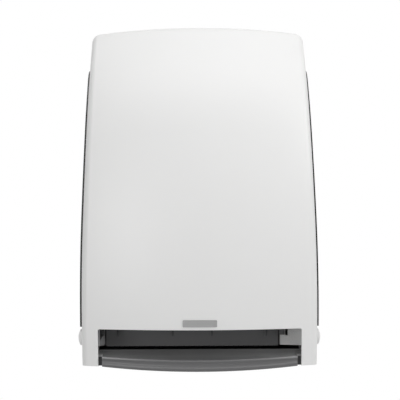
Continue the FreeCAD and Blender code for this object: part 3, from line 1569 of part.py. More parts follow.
def hardware():
    """Pins, screws, stop buffers and the lever's return spring."""
    ear = S.hinge_ear_place - S.hinge_ear_width / 2
    lug_end = S.hinge_ear_place + S.hinge_ear_width * 1.5 + S.gap
    hinge = (-S.hinge_depth, level(S.hinge_height))
    group("cover_hinge_pins", [
        rod(f"cover_hinge_pin_{word}", "x", S.hinge_pin_radius, mirror_span(side, ear, lug_end), hinge)
        for side, word in ((-1, "left"), (1, "right"))
    ])
    seat = -S.plate_thickness - S.foot_wall
    group("frame_screws", [
        hex_screw(f"frame_screw{i}", "y", S.screw_radius, as_size(-0.5), seat, spot, -1)
        for i, spot in enumerate(foot_screw_places())
    ])
    group("holder_screws", [
        hex_screw(f"holder_screw{i}", "y", S.screw_radius, as_size(-0.5), seat, spot, -1)
        for i, spot in enumerate(holder_screw_places())
    ])
    tip = -S.bar_rear - S.bar_wall
    behind_foot = -S.bar_rear + S.arm_foot_wall
    group("lever_screws", [
        hex_screw(f"lever_screw{i}", "y", S.screw_radius, tip, behind_foot, spot, 1)
        for i, spot in enumerate(lever_screw_places())
    ])
    keeper = (-S.keeper_screw_depth, level(S.keeper_screw_height))
    inner = S.frame_inner
    seat = S.frame_outer + S.keeper_wall
    group("keeper_screws", [
        hex_screw("keeper_screw_left", "x", S.small_screw_radius, -inner, -seat, keeper, -1),
        hex_screw("keeper_screw_right", "x", S.small_screw_radius, inner, seat, keeper, 1),
    ])
    slope = (S.arm_half_height + S.lever_height - S.arm_foot_top) / (S.bar_rear - S.lever_depth)
    arm_top = S.lever_height + S.arm_half_height - (S.stop_depth - S.lever_depth) * slope
    lean = math.cos(math.atan(slope.value))
    stop = (-S.stop_depth, level(arm_top + (S.stop_radius + S.stop_gap) / lean))
    outer = S.frame_outer
    group("lever_stops", [
        rod(f"lever_stop_{word}", "x", S.stop_radius, mirror_span(side, outer, outer + S.stop_long), stop)
        for side, word in ((-1, "left"), (1, "right"))
    ])
    rod("lever_shaft", "x", S.lever_shaft_radius,
        (-S.arm_outer, S.arm_outer), (-S.lever_depth, level(S.lever_height)))
    coil_left = S.bush_flange.value + S.gap.value - S.frame_inner.value
    start = (coil_left, -S.lever_depth.value, level(S.lever_height).value)
    coil("lever_return_spring", start, S.lever_shaft_radius.value + S.spring_play.value,
         S.lever_spring_wire.value, S.lever_spring_turns.value)


NODES = [
    "back_plate", "side_frame_left", "side_frame_right", "gear_wall", "throat_cheek", "front_guide",
    "tear_blade", "rear_chute", "front_cover", "side_window_left", "side_window_right", "badge_plate",
    "lever_bar", "lever_arm_left", "lever_arm_right", "lever_shaft", "lever_screws", "lever_return_spring",
    "lever_bushes", "lever_stops", "sector_gear", "idler_gear", "idler_pin", "clutch_gear",
    "feed_shaft", "feed_roller_sleeves", "feed_wheel", "feed_bushes",
    "pressure_frame", "pressure_rod", "pressure_shaft", "pressure_rollers", "pressure_springs",
    "roll_arm_left", "roll_arm_right", "roll_bracket", "roll_arm_pin", "roll_hub_left", "roll_hub_right",
    "release_button_left", "release_button_right", "button_spring_left", "button_spring_right",
    "latch_keeper_left", "latch_keeper_right", "cover_hinge_pins", "frame_screws", "holder_screws",
    "keeper_screws",
]


def build():
    """Make every sub-part."""
    back_plate()
    side_frame("side_frame_left", -1)
    side_frame("side_frame_right", 1)
    gear_wall()
    throat_cheek()
    front_guide()
    tear_blade()
    rear_chute()
    front_cover()
    side_window("side_window_left", -1)
    side_window("side_window_right", 1)
    badge_plate()
    lever_bar()
    lever_arm("lever_arm_left", -1)
    lever_arm("lever_arm_right", 1)
    gear_parts()
    bushes("lever_bushes", S.lever_depth, S.lever_height)
    bushes("feed_bushes", S.feed_depth, S.feed_height)
    feed_parts()
    pressure_parts()
    roll_holders()
    for side, word in ((-1, "left"), (1, "right")):
        release_button("release_button_" + word, side)
        button_spring("button_spring_" + word, side)
        latch_keeper("latch_keeper_" + word, side)
    hardware()
    doc.recompute()


def save():
    """Check every object and write one file for each sub-part."""
    failed = [item.Label for item in doc.Objects if set(item.State) & {"Invalid", "Error"}]
    if failed:
        raise RuntimeError(f"objects that did not build: {failed}")
    os.makedirs("parts", exist_ok=True)
    for node in NODES:
        shape = doc.getObjectsByLabel(node)[0].Shape
        if shape.isNull() or not shape.isValid():
            raise RuntimeError(f"{node} has no valid shape")
        shape.exportStep(f"parts/{node}.step")
        print(node, len(shape.Solids), round(shape.Volume, 1))


build()
save()
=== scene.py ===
# %% [markdown]
# # A paper towel dispenser with a push-down lever
# The dispenser hangs on a wall. Its working parts come from a CAD model, which is loaded here as
# a fixed frame. This lesson dresses that frame: each cell explains one piece or finish, says how
# it could be made, and why one way was chosen. Lengths are in metres. The wall is the plane
# y = 0, the front looks along -y, and the origin is the middle of the four wall screws.

# %% Load the frame
import json
import math

import bmesh
import bpy
import numpy as np
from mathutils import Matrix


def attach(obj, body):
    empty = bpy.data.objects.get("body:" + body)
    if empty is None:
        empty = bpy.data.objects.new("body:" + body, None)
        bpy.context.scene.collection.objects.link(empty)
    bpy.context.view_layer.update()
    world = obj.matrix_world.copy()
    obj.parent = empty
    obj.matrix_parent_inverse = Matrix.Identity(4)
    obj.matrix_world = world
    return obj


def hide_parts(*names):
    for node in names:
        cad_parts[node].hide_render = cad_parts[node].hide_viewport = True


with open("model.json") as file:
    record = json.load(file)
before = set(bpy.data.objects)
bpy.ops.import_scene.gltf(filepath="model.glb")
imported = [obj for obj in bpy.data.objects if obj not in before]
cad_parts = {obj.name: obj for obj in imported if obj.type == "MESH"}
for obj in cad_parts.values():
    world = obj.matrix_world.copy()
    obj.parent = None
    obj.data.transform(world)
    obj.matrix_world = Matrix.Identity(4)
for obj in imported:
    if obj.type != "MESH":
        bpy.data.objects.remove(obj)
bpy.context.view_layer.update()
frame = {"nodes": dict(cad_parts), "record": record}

nodes = frame["nodes"]
scene = bpy.context.scene

# %% [markdown]
# ## Writing shaders as arithmetic
# A shader node tree is easier to read as a formula. One small class wraps a socket, so that
# `0.4 + 0.1 * grain` adds the Math nodes by itself. A second class holds a tree, and its single
# `node` call makes every other node. Nodes could also be added one by one, but then the sums in a
# finish are hard to see.

# %% Shader arithmetic
class Link:
    """A socket of a tree that can be added, multiplied, and taken away from a number."""

    def __init__(self, tree, socket):
        self.tree = tree
        self.socket = socket

    def maths(self, operation, first, second):
        return self.tree.node("ShaderNodeMath", {"operation": operation}, {0: first, 1: second})

    def __add__(self, other):
        return self.maths("ADD", self, other)

    def __mul__(self, other):
        return self.maths("MULTIPLY", self, other)

    def __rsub__(self, other):
        return self.maths("SUBTRACT", other, self)

    __radd__ = __add__
    __rmul__ = __mul__


class Tree:
    """A node tree with one call for any node."""

    def __init__(self, node_tree):
        self.node_tree = node_tree

    def node(self, kind, settings=None, inputs=None, output=0):
        """Add one node: its settings first, then the values or links of its sockets."""
        made = self.node_tree.nodes.new(kind)
        for word, value in (settings or {}).items():
            setattr(made, word, value)
        for socket, value in (inputs or {}).items():
            if isinstance(value, Link):
                self.node_tree.links.new(value.socket, made.inputs[socket])
            else:
                made.inputs[socket].default_value = value
        return Link(self, made.outputs[output]) if len(made.outputs) else None

    def seen_as_backdrop(self):
        """1 on rays from the camera and on those that metal or glass sends on, otherwise 0."""
        seen = self.node("ShaderNodeLightPath", output="Is Camera Ray")
        for word in ("Is Glossy Ray", "Is Transmission Ray"):
            other = self.node("ShaderNodeLightPath", output=word)
            seen = seen.maths("MAXIMUM", seen, other)
        return seen


print("shader arithmetic ready")

# %% [markdown]
# ## What a finish is
# Each finish is one Principled shader. Its fixed numbers are set on the shader's own sockets, and
# what changes over the surface is fed to it. Noise reads the object's own coordinates, so that
# its grain stays on the piece when the piece moves. A picture of the grain would need a map of
# the surface and would show where it repeats.

# %% Finishes
UNSTRETCHED = (1.0, 1.0, 1.0)


class Finish(Tree):
    """A procedural finish: one Principled shader and the nodes that feed it."""

    def __init__(self, name, **constants):
        self.material = bpy.data.materials.new(name)
        self.material.use_nodes = True
        super().__init__(self.material.node_tree)
        self.shader = self.node_tree.nodes["Principled BSDF"]
        for words, value in constants.items():
            self.shader.inputs[words.replace("_", " ")].default_value = value

    def feed(self, socket, link):
        """Join a link to one of the shader's own sockets."""
        self.node_tree.links.new(link.socket, self.shader.inputs[socket])

    def place(self, stretch=UNSTRETCHED):
        """The object's own coordinates, in metres, stretched by a factor on each axis."""
        spot = self.node("ShaderNodeTexCoord", output="Object")
        return self.node("ShaderNodeMapping", {}, {"Vector": spot, "Scale": stretch})

    def clouds(self, scale, detail=2.0, stretch=UNSTRETCHED):
        """Soft noise from 0 to 1, with `scale` blobs in a metre."""
        inputs = {"Vector": self.place(stretch), "Scale": scale, "Detail": detail}
        return self.node("ShaderNodeTexNoise", {}, inputs)

    def blend(self, factor, first, second):
        """A colour between two others. Its colour sockets are 6 and 7, and its result is 2."""
        inputs = {0: factor, 6: (*first, 1.0), 7: (*second, 1.0)}
        return self.node("ShaderNodeMix", {"data_type": "RGBA"}, inputs, 2)

    def relief(self, height, strength, distance):
        """Bumps from a height, joined to the shader's normal."""
        inputs = {"Height": height, "Strength": strength, "Distance": distance}
        self.feed("Normal", self.node("ShaderNodeBump", {}, inputs))


def shades(colour, darker, lighter):
    """A colour made darker and lighter by two factors, with no channel above 1."""
    return (tuple(channel * darker for channel in colour),
            tuple(min(channel * lighter, 1.0) for channel in colour))


finishes = {}
print("finishes start empty")

# %% [markdown]
# ## Moulded plastics
# Most of the dispenser is moulded ABS. Gloss parts leave a polished mould, so they keep only a
# faint orange peel. Satin parts leave a spark-eroded mould, whose fine even grain spreads the
# light. Both come from one recipe: a colour that drifts very slightly, a roughness that drifts
# with it, and bumps at the grain's own scale. A flat colour would look like a toy.

# %% Plastic recipe
DRIFT_BLOBS = 14.0
GRAIN_STRENGTH = 0.35


def plastic(name, colour, roughness, grain, depth, drift=0.03):
    """Moulded plastic: `grain` bumps in a metre, `depth` metres deep, over a slow drift of tone.

    Its roughness is r - 0.04 + 0.05 times the slow noise + 0.03 times the grain.
    """
    finish = Finish(name, Roughness=roughness)
    slow = finish.clouds(DRIFT_BLOBS, detail=3.0)
    finish.feed("Base Color", finish.blend(slow, *shades(colour, 1.0 - drift, 1.0 + drift)))
    fine = finish.clouds(grain, detail=1.0)
    finish.feed("Roughness", roughness - 0.04 + 0.05 * slow + 0.03 * fine)
    finish.relief(fine, strength=GRAIN_STRENGTH, distance=depth)
    return finish


# For each slot: name, colour, roughness, grain in a metre, depth of the grain, drift of the tone.
for slot, recipe in {
    "cover_white": ("gloss white", (0.80, 0.80, 0.795), 0.36, 420.0, 0.00001, 0.006),
    "bar_grey": ("satin bar grey", (0.118, 0.118, 0.12), 0.32, 2600.0, 0.00004),
    # The left cheek's grey is painted shade: its colour is darkened to stand for the cover's shade
    # on it.
    "cheek_grey": ("satin cheek grey", (0.33, 0.33, 0.333), 0.5, 2200.0, 0.00004),
    "cheek_white": ("satin cheek white", (0.84, 0.84, 0.83), 0.28, 2200.0, 0.00003, 0.015),
    "inner_black": ("moulded black", (0.03, 0.03, 0.032), 0.48, 1800.0, 0.00004),
    "guide_grey": ("guide grey", (0.085, 0.085, 0.087), 0.46, 2200.0, 0.00004),
    "gear_natural": ("natural acetal", (0.70, 0.68, 0.62), 0.36, 900.0, 0.00002, 0.02),
}.items():
    finishes[slot] = plastic(*recipe)
print("plastics:", len(finishes))

# %% [markdown]
# ## Smoked windows
# The side windows are clear acrylic with a dark dye, so that the roll inside can be seen and the
# works can't. Light passes through them: the shader transmits most of what it doesn't reflect,
# and its dark colour is what one trip through the panel leaves. Painting them dark grey would be
# simpler, but a side view would lose all depth.

# %% Smoked acrylic
def smoked(name, colour, roughness):
    """Dyed acrylic: light goes through it and comes out in the panel's own colour."""
    finish = Finish(name, Roughness=roughness, Transmission_Weight=0.9, IOR=1.3,
                    Specular_IOR_Level=0.25)
    slow = finish.clouds(9.0)
    finish.feed("Base Color", finish.blend(slow, *shades(colour, darker=1.0, lighter=1.1)))
    finish.feed("Roughness", roughness + 0.03 * finish.clouds(60.0))
    return finish


finishes["window_smoke"] = smoked("smoked acrylic", (0.075, 0.075, 0.079), 0.08)
print("windows: smoked acrylic")

# %% [markdown]
# ## Badge plate
# The small plate on the front is bare. It is grey plastic with a brushed face: the noise is
# squeezed to a hundredth along x, which draws it out into fine level lines. Real scratches could
# be cut as geometry, but at this size only their shine shows.

# %% Brushed plate
BRUSH_LINES = 5200.0
DRAWN_OUT = (0.01, 1.0, 1.0)


def brushed(name, colour):
    """A grey face with fine level brush lines."""
    finish = Finish(name, Metallic=0.15)
    lines = finish.clouds(BRUSH_LINES, stretch=DRAWN_OUT)
    finish.feed("Base Color", finish.blend(lines, *shades(colour, darker=0.9, lighter=1.1)))
    finish.feed("Roughness", 0.34 + 0.12 * lines)
    finish.relief(lines, strength=0.3, distance=0.00002)
    return finish


finishes["badge_grey"] = brushed("brushed badge", (0.35, 0.35, 0.35))
print("badge: brushed")

# %% [markdown]
# ## The bar and the painted light on its scoop
# Palms push the bar down by its upper face, the scoop. Above the ridge the grey is lighter, and
# this is painted light: it stands for the light that falls on the upward-facing scoop. The scoop
# is also a little smoother than the satin lip below it. The change is a ramp on the height, 2.4 mm
# tall, and a slow noise keeps it from being even. Two materials would need a cut along the ridge,
# and the ramp needs none.

# %% Lever bar
RIDGE = -0.1946
HALF_RAMP = 0.0012
# The second grey is the satin grey lightened by painted light, for the scoop above the ridge.
SATIN_GREY, PAINTED_LIT_GREY = (0.112, 0.112, 0.114), (0.25, 0.25, 0.252)

bar = finishes["bar_grey"]
height = bar.node("ShaderNodeSeparateXYZ", {}, {"Vector": bar.place()}, "Z")
painted_light_ramp = bar.node("ShaderNodeMapRange", {"clamp": True}, {
    "Value": height, "From Min": RIDGE - HALF_RAMP, "From Max": RIDGE + HALF_RAMP})
# The share of painted light: it lightens the grey above the ridge and lowers its roughness a
# little.
painted_light_share = painted_light_ramp * (0.85 + 0.3 * bar.clouds(30.0))
bar.feed("Base Color", bar.blend(painted_light_share, SATIN_GREY, PAINTED_LIT_GREY))
bar.feed("Roughness", 0.34 - 0.05 * painted_light_share)
print("bar: painted_lit above", RIDGE)

# %% [markdown]
# ## Rubber and steel
# The roller rings are rubber, dull and slightly dusty. The shafts and screws are drawn or turned
# steel, whose marks run along x, so their noise is stretched on that axis. The tear blade is
# blackened steel, so that it doesn't glint behind the wall. Plain grey metal would be quicker, but
# it looks like a mirror with no size.

# %% Rubber and steel
CLEAN_RUBBER, DUSTY_RUBBER = (0.035, 0.035, 0.035), (0.085, 0.083, 0.08)
MARKS_ALONG_X = (0.02, 1.0, 1.0)


def rubber(name):
    """Dull black rubber with a soft bloom of paper dust."""
    finish = Finish(name, Roughness=0.8)
    dust = finish.clouds(160.0, detail=4.0)
    finish.feed("Base Color", finish.blend(dust, CLEAN_RUBBER, DUSTY_RUBBER))
    finish.relief(finish.clouds(3000.0, detail=1.0), strength=0.5, distance=0.00005)
    return finish


def steel(name, dark, light, metallic):
    """Steel with fine marks along x, between two tones."""
    finish = Finish(name, Metallic=metallic)
    marks = finish.clouds(1500.0, stretch=MARKS_ALONG_X)
    finish.feed("Base Color", finish.blend(marks, dark, light))
    finish.feed("Roughness", 0.24 + 0.14 * marks)
    return finish


finishes["roller_rubber"] = rubber("roller rubber")
finishes["steel"] = steel("drawn steel", (0.50, 0.50, 0.51), (0.62, 0.62, 0.63), metallic=1.0)
blade_steel = steel("blackened steel", (0.035, 0.035, 0.037), (0.06, 0.06, 0.063), metallic=0.7)
print("finishes:", len(finishes), "and the blade's own")

# %% [markdown]
# ## Dressing the frame
# The frame's record names a material slot for every node. Each node takes the finish of its slot,
# so no piece is forgotten. They could be listed by hand, but a list goes out of date. Only the
# blade differs from the other steel.

# %% Finishes on the frame
for subpart in frame["record"]["subparts"]:
    mesh = nodes[subpart["node"]].data
    mesh.materials.clear()
    mesh.materials.append(finishes[subpart["material_slot"]].material)
nodes["tear_blade"].data.materials[0] = blade_steel.material

# %% [markdown]
# ## Surfaces from rings
# The small hardware is finer than the frame's own solids: round wire, fluted rubber, screws with
# a cross. Each of these is a row of rings joined into a skin. A ring is a closed line of points,
# so a whole skin is one array of rows, columns and coordinates, worked out at once. A sculpted or
# hand-edited mesh could look the same, but a formula says what the shape is.

# %% Ring skins
def skin(rings, looped=False):
    """Join rings, an array (rows, columns, 3), into a closed skin whose faces point outwards.

    With `looped` the last ring joins the first, as in a hollow ring; otherwise a point in the
    middle of each end ring closes it. The sign of the enclosed volume, the sum of a . (b x c) / 6
    over the triangles, tells which way round the faces go.
    """
    rows, columns = rings.shape[:2]
    points = rings.reshape(-1, 3)
    index = np.arange(rows * columns).reshape(rows, columns)
    across = np.roll(index, -1, axis=1)
    last = rows if looped else rows - 1
    onward, onward_across = np.roll(index, -1, axis=0)[:last], np.roll(across, -1, axis=0)[:last]
    quads = np.stack([index[:last], across[:last], onward_across, onward], axis=-1).reshape(-1, 4)
    triangles = np.zeros((0, 3), int)
    if not looped:
        points = np.vstack([points, rings[0].mean(axis=0), rings[-1].mean(axis=0)])
        start, end = np.full(columns, rows * columns), np.full(columns, rows * columns + 1)
        triangles = np.vstack([
            np.stack([start, across[0], index[0]], axis=-1),
            np.stack([end, index[-1], across[-1]], axis=-1),
        ])
    halves = np.vstack([quads[:, [0, 1, 2]], quads[:, [0, 2, 3]], triangles])
    a, b, c = (points[halves[:, corner]] for corner in range(3))
    if np.einsum("ij,ij->i", a, np.cross(b, c)).sum() < 0:
        quads, triangles = quads[:, ::-1], triangles[:, ::-1]
    return points, quads, triangles


def turns_of(count):
    """Angles once round, without the last one, which is the first again."""
    return np.linspace(0.0, 2.0 * np.pi, count, endpoint=False)


print("ring skins ready")

# %% [markdown]
# ## Fixing a piece to the frame
# A new mesh gets smooth shading up to its sharp edges and the finish of its slot. It then rides
# on the body that carries it and may stand for one of the frame's nodes. Each piece could do this
# for itself, but one helper forgets nothing, and a piece that rides on nothing would stay behind
# when a joint moves.

# %% Fixing helpers
MM = 0.001


def mounted(name, mesh, body, slot, replaced, sharp_degrees):
    """Shade a mesh, give it its slot's finish, and fix it to a body of the frame."""
    mesh.shade_smooth()
    mesh.set_sharp_from_angle(angle=math.radians(sharp_degrees))
    mesh.materials.clear()
    mesh.materials.append(finishes[slot].material)
    piece = bpy.data.objects.new(name, mesh)
    scene.collection.objects.link(piece)
    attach(piece, body)
    if replaced:
        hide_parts(*replaced)
    print(name, "faces:", len(mesh.polygons))


def fitted(name, skins, body, slot, *replaced):
    """Put several skins into one mesh and fix it to a body.

    The faces of each skin count on from the points of the skins before it.
    """
    points, faces, before = [], [], 0
    for spots, quads, triangles in skins:
        points.append(spots)
        faces += (quads + before).tolist() + (triangles + before).tolist()
        before += len(spots)
    mesh = bpy.data.meshes.new(name)
    mesh.from_pydata(np.vstack(points).tolist(), [], faces)
    mounted(name, mesh, body, slot, replaced, sharp_degrees=40.0)


print("fixing helpers ready")

# %% [markdown]
# ## Window panels
# A real window is stuck on with a thin film of glue, so its inner face isn't in the same place as
# the cover's outer face. Two faces in one place also make a see-through panel flicker. A merged
# copy of each CAD panel, moved a tenth of a millimetre outwards, leaves room for that film.

# %% Window panels
GLUE_FILM = 0.1 * MM
MERGE_WITHIN = 0.01 * MM


def lifted(name, node, shift, body, slot):
    """A copy of a CAD node with its doubled points merged: every point p becomes p + shift."""
    mesh = nodes[node].data.copy()
    mesh.name = name
    merged = bmesh.new()
    merged.from_mesh(mesh)
    bmesh.ops.remove_doubles(merged, verts=merged.verts, dist=MERGE_WITHIN)
    merged.to_mesh(mesh)
    merged.free()
    spots = np.empty(len(mesh.vertices) * 3)
    mesh.vertices.foreach_get("co", spots)
    mesh.vertices.foreach_set("co", (spots.reshape(-1, 3) + np.array(shift)).ravel())
    mounted(name, mesh, body, slot, (node,), sharp_degrees=30.0)


for side, word in ((-1, "left"), (1, "right")):
    lifted(f"{word}_panel", f"side_window_{word}", (side * GLUE_FILM, 0.0, 0.0),
           "cover", "window_smoke")

# %% [markdown]
# ## Springs of round wire
# The return spring sits on the lever's shaft and the two pressure springs on their rod. The path
# is a helix, and the wire's circle is carried along it, square to the path. A curve with a round
# bevel would give the same shape, but the formula keeps the turns exact. From here on, the sizes
# of the small pieces are in millimetres.

# %% Springs
STEPS_A_TURN = 28
WIRE_SIDES = 12


def spring(start, coil_radius, wire_radius, pitch, turns):
    """A helix along +x: (x + pitch t, R cos 2 pi t, R sin 2 pi t), with a circle of wire round it.

    The circle's two axes are the outward direction and the one square to it and to the path.
    """
    step = np.linspace(0.0, turns, int(turns * STEPS_A_TURN) + 1)[:, None]
    cos, sin, none = np.cos(2 * np.pi * step), np.sin(2 * np.pi * step), 0 * step
    outward = np.stack([none, cos, sin], axis=-1)
    along = np.stack([pitch * step, none, none], axis=-1)
    centre = np.array(start) + coil_radius * outward + along
    slope = pitch / (2 * np.pi * coil_radius)
    side = np.stack([1.0 + none, slope * sin, -slope * cos], axis=-1)
    side /= np.linalg.norm(side, axis=-1, keepdims=True)
    round_wire = turns_of(WIRE_SIDES)[None, :, None]
    ring = np.cos(round_wire) * outward + np.sin(round_wire) * side
    return skin((centre + wire_radius * ring) * MM)


lever_coil = spring((-120.8, -60.0, -157.0), coil_radius=5.1, wire_radius=0.8, pitch=2.0, turns=3.0)
fitted("return_spring", [lever_coil], "root", "steel", "lever_return_spring")
coils = [spring((start, -121.0, -75.0), coil_radius=3.9, wire_radius=0.6, pitch=1.5, turns=2.0)
         for start in (-119.5, 100.0)]
fitted("pressure_coils", coils, "root", "steel", "pressure_springs")

# %% [markdown]
# ## Fluted feed sleeves
# The rubber sleeves grip the towel, so they are moulded with flutes along their length. The
# outside radius is a wave round the sleeve, and small chamfers keep the ends from tearing paper.
# Bumps in the material would be lighter, but the flutes show on the sleeve's outline.

# %% Feed sleeves
CHAMFER = 0.8
POINTS_A_FLUTE = 4


def sleeve(middle, half, radius, bore, flutes, depth):
    """A hollow ring along x: its outside radius is R - depth (1 - cos(flutes a)) / 2."""
    angle = turns_of(flutes * POINTS_A_FLUTE)
    wave = depth * (1.0 - np.cos(flutes * angle)) / 2.0
    rows = [
        (-half, bore, 0), (-half, radius - CHAMFER, 0), (CHAMFER - half, radius, 1),
        (half - CHAMFER, radius, 1), (half, radius - CHAMFER, 0), (half, bore, 0),
    ]
    rings = [
        np.stack([np.full_like(angle, middle[0] + along),
                  middle[1] + (reach - waved * wave) * np.cos(angle),
                  middle[2] + (reach - waved * wave) * np.sin(angle)], axis=-1)
        for along, reach, waved in rows
    ]
    return skin(np.array(rings) * MM, looped=True)


sleeves = [sleeve((x, -98.0, -110.0), half=15.0, radius=15.7, bore=4.0, flutes=44, depth=0.55)
           for x in (-89.7, -35.7, 18.3, 72.3)]
fitted("fluted_sleeves", sleeves, "feed_roller", "roller_rubber", "feed_roller_sleeves")

# %% [markdown]
# ## Screws with a cross
# Every screw has a domed head with a cross recess. The head's rings lie on a dome, and the cross
# is taken out of its height: two soft bars at right angles, each a box with sloping sides. A
# Boolean cut would give sharper edges, and also the slivers that spoil smooth shading.

# %% Screws
HEAD_SIDES, HEAD_RINGS, SMALLEST_RING = 48, 14, 0.25
DOME_HIGH, DOME_FALL = 2.0, 0.4
CROSS_DEEP = 1.0
CROSS_HALF_WIDTH, CROSS_SIDE_SLOPE = 0.62, 0.22
CROSS_SHARE_OF_HEAD, CROSS_END_SLOPE = 0.62, 0.35
RIM_HIGH, RIM_CHAMFER, TIP_CHAMFER = 0.5, 0.25, 0.6


def groove(across, along, half_length):
    """One bar of the cross: 1 on its floor, 0 outside it, with a slope at its sides and ends."""
    sides = np.clip((CROSS_HALF_WIDTH - np.abs(across)) / CROSS_SIDE_SLOPE, 0.0, 1.0)
    ends = np.clip((half_length - np.abs(along)) / CROSS_END_SLOPE, 0.0, 1.0)
    return sides * ends


def screw(seat, axis, sign, shank, head, length):
    """A domed screw: height H (1 - 0.4 (r/R)^2) less a cross recess, then its rim and its shank.

    The seat is the middle of the head's underside, and the head points along sign times the axis.
    """
    angle = turns_of(HEAD_SIDES)
    cos, sin = np.cos(angle), np.sin(angle)
    reach = np.linspace(SMALLEST_RING, head, HEAD_RINGS)[:, None]
    u, v = reach * cos, reach * sin
    half_length = CROSS_SHARE_OF_HEAD * head
    cross = CROSS_DEEP * np.maximum(groove(u, v, half_length), groove(v, u, half_length))
    dome = DOME_HIGH * (1.0 - DOME_FALL * (reach / head) ** 2)
    top = np.stack([u, v, dome - cross], axis=-1)
    radius, level = np.array([
        (head, RIM_HIGH), (head - RIM_CHAMFER, 0.0), (shank, 0.0),
        (shank, TIP_CHAMFER - length), (shank - TIP_CHAMFER, -length)]).T[:, :, None]
    below = np.stack([radius * cos, radius * sin, level + 0 * angle], axis=-1)
    local = np.concatenate([top, below])
    placed = np.empty_like(local)
    others = [0, 1, 2]
    others.remove(axis)
    placed[..., axis] = seat[axis] + sign * local[..., 2]
    for place, flat in zip(others, (0, 1)):
        placed[..., place] = seat[place] + local[..., flat]
    return skin(placed * MM)


print("screw recipe ready")

# %% [markdown]
# ## Where the screws sit
# The frame and holder screws go through feet on the back plate, the bar's screws hold it to the
# lever arms, and each latch keeper has one screw. Every screw sits on the place of the plain one
# that it stands for, so the head lies on its seat.

# %% Screw places
X, Y = 0, 1
FRAME_SCREW = {"shank": 1.9, "head": 3.8, "length": 5.5}
KEEPER_SCREW = {"shank": 1.4, "head": 3.3, "length": 5.6}
FRONT_OF_WALL_FEET, BACK_OF_ARM_FEET = -6.0, -173.0
OUTSIDE_OF_KEEPER = 129.6

low_feet = [screw((x, FRONT_OF_WALL_FEET, z), Y, -1, **FRAME_SCREW)
            for x in (-132.5, 100.5, 132.5) for z in (-160.0, -87.0)]
fitted("foot_screws", low_feet, "root", "steel", "frame_screws")
high_feet = [screw((x, FRONT_OF_WALL_FEET, z), Y, -1, **FRAME_SCREW)
             for x in (-104.7, 105.3) for z in (63.0, 97.0)]
fitted("holder_foot_screws", high_feet, "root", "steel", "holder_screws")
bar_ends = [screw((x, BACK_OF_ARM_FEET, z), Y, 1, **FRAME_SCREW)
            for x in (-116.5, 116.5) for z in (-203.5, -195.5)]
fitted("bar_screws", bar_ends, "lever", "steel", "lever_screws")
latch_ends = [screw((side * OUTSIDE_OF_KEEPER, -168.0, -149.0), X, side, **KEEPER_SCREW)
              for side in (-1, 1)]
fitted("latch_screws", latch_ends, "root", "steel", "keeper_screws")

# %% [markdown]
# ## Feet of painted shade
# Four small black feet stand on the ribs of the wall behind the opening. Their black is painted
# shade: it stands for the small dark shadows at the top of the wall, by the ribs. Each is a stack
# of rounded rectangles that narrow downwards. A tapered block with bevels would do as well, but
# here the rounding is part of the formula.

# %% Guide feet
FOOT_SIDES, FOOT_LAYERS = 24, 9
FOOT_FLARE = 0.8


def foot(middle_x, front, low, high, narrow, wide, thick):
    """Rounded rectangles |x/a|^4 + |y/b|^4 = 1, stacked upwards while a grows to its widest."""
    angle = turns_of(FOOT_SIDES)
    cos, sin = np.cos(angle), np.sin(angle)
    x, y = np.sign(cos) * np.sqrt(np.abs(cos)), np.sign(sin) * np.sqrt(np.abs(sin))
    share = np.linspace(0.0, 1.0, FOOT_LAYERS)[:, None]
    half = (narrow + (wide - narrow) * share ** FOOT_FLARE) / 2.0
    depth = front + thick / 2.0 * y + 0 * half
    rings = np.stack([middle_x + half * x, depth, low + (high - low) * share + 0 * x], axis=-1)
    return skin(rings * MM)


feet = [foot(x, front=-140.1, low=-175.4, high=-160.0, narrow=1.0, wide=4.4, thick=1.4)
        for x in (-104.6, -34.1, 16.7, 87.2)]
# The feet's black finish is painted shade for the small shadows by the ribs.
fitted("painted_shade_feet", feet, "root", "inner_black")

# %% [markdown]
# ## Floor
# A wall-hung piece is shown on plain white. The floor lies well below it. To the camera, and in
# metal and glass, it glows a little, so that it looks nearly white and keeps its shadows. A
# stronger lamp would do the same and bleach the white cover.

# %% Floor
FLOOR_HEIGHT = -0.62
FLOOR_HALF = 1.6
FLOOR_GLOW = 0.4


def flat_square(name, half, height):
    """A level square: x and y run from -half to half at one height."""
    corners = [(-half, -half, height), (half, -half, height), (half, half, height),
               (-half, half, height)]
    mesh = bpy.data.meshes.new(name)
    mesh.from_pydata(corners, [], [(0, 1, 2, 3)])
    piece = bpy.data.objects.new(name, mesh)
    scene.collection.objects.link(piece)
    return piece


floor = flat_square("floor", FLOOR_HALF, FLOOR_HEIGHT)
pale = plastic("pale floor", (0.8, 0.8, 0.8), roughness=0.6, grain=200.0, depth=0.00005,
               drift=0.01)
glow = pale.blend(pale.seen_as_backdrop(), (0.0,) * 3, (FLOOR_GLOW,) * 3)
pale.feed("Emission Color", glow)
pale.shader.inputs["Emission Strength"].default_value = 1.0
floor.data.materials.append(pale.material)
print("floor at", FLOOR_HEIGHT)

# %% [markdown]
# ## A white room
# The world is white where the camera sees it, also through glass and in metal. As a light it is
# only grey-white, and a little brighter from the right, as beside a large window. A picture of a
# room would light the piece too, but its windows would show in the gloss.

# %% World
WHITE = (1.0, 1.0, 1.0, 1.0)
ROOM_LIGHT, ROOM_SLOPE = 0.4, 0.13

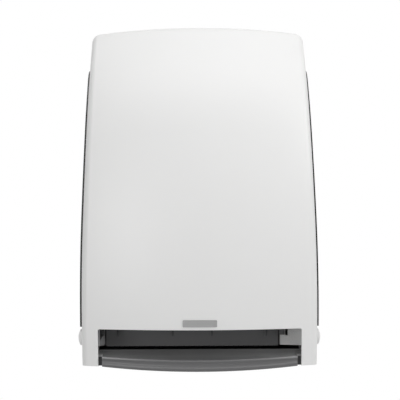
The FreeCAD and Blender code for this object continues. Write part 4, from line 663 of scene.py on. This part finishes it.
scene.world = bpy.data.worlds.new("white room")
scene.world.use_nodes = True
scene.world.node_tree.nodes.clear()
room = Tree(scene.world.node_tree)
aim = room.node("ShaderNodeTexCoord", output="Generated")
aim_x = room.node("ShaderNodeSeparateXYZ", {}, {0: aim}, "X")
lighting, backdrop = (
    room.node("ShaderNodeBackground", {}, {"Color": WHITE, "Strength": strength})
    for strength in (ROOM_LIGHT + ROOM_SLOPE * aim_x, 1.0))
surface = room.node("ShaderNodeMixShader", {}, {
    0: room.seen_as_backdrop(), 1: lighting, 2: backdrop})
room.node("ShaderNodeOutputWorld", {}, {"Surface": surface})
print("room light:", ROOM_LIGHT, "and", ROOM_SLOPE, "more from the right")

# %% [markdown]
# ## Lamps
# Two wide lamps above give the long soft fall of light down the cover. A lamp on the right and a
# weaker one in front on the left model its rounded edges and the bar's ridge. Small lamps would
# be simpler to place, but their hard highlights would break up the smooth front.

# %% Lamps
def lamp(name, place, aim, size, watts):
    """A soft rectangular lamp that looks at a point."""
    data = bpy.data.lights.new(name, "AREA")
    data.shape = "RECTANGLE"
    data.size, data.size_y = size
    data.energy = watts
    piece = bpy.data.objects.new(name, data)
    scene.collection.objects.link(piece)
    piece.location = place
    towards = np.array(aim) - np.array(place)
    yaw = math.atan2(towards[1], towards[0]) - math.pi / 2
    pitch = math.atan2(towards[2], math.hypot(towards[0], towards[1]))
    piece.rotation_euler = (math.pi / 2 + pitch, 0.0, yaw)
    print(name, "lamp:", watts, "W")


lamp("top front", place=(0.05, -1.0, 1.2), aim=(0.0, -0.2, 0.0), size=(1.8, 0.5), watts=5.5)
lamp("top back", place=(0.0, -0.6, 1.8), aim=(0.0, -0.1, 0.1), size=(2.4, 0.8), watts=6.8)
lamp("right side", place=(1.5, -1.1, 0.9), aim=(0.0, -0.15, 0.0), size=(0.8, 0.8), watts=9.8)
lamp("left front", place=(-0.85, -1.9, 0.1), aim=(0.0, -0.2, 0.0), size=(0.6, 0.8), watts=5.6)
scene.view_settings.view_transform = "Standard"

# %% [markdown]
# ## Camera
# The camera stands straight in front of the dispenser at the height of its middle. A long lens
# from about one and a half metres keeps the upright edges nearly straight and still shows the bow
# of the front. A small shift sets the piece in the frame without turning the camera.

# %% Camera
ROLL_DEGREES = 0.26

lens_data = bpy.data.cameras.new("front view")
lens_data.sensor_width = 36.0
lens_data.lens = 101.2
lens_data.shift_x = 0.0427
camera = bpy.data.objects.new("front view", lens_data)
scene.collection.objects.link(camera)
camera.location = (-0.02, -1.595, 0.001)
camera.rotation_euler = (math.pi / 2, math.radians(ROLL_DEGREES), 0.0)
scene.camera = camera
print("camera at", tuple(round(value, 3) for value in camera.location))
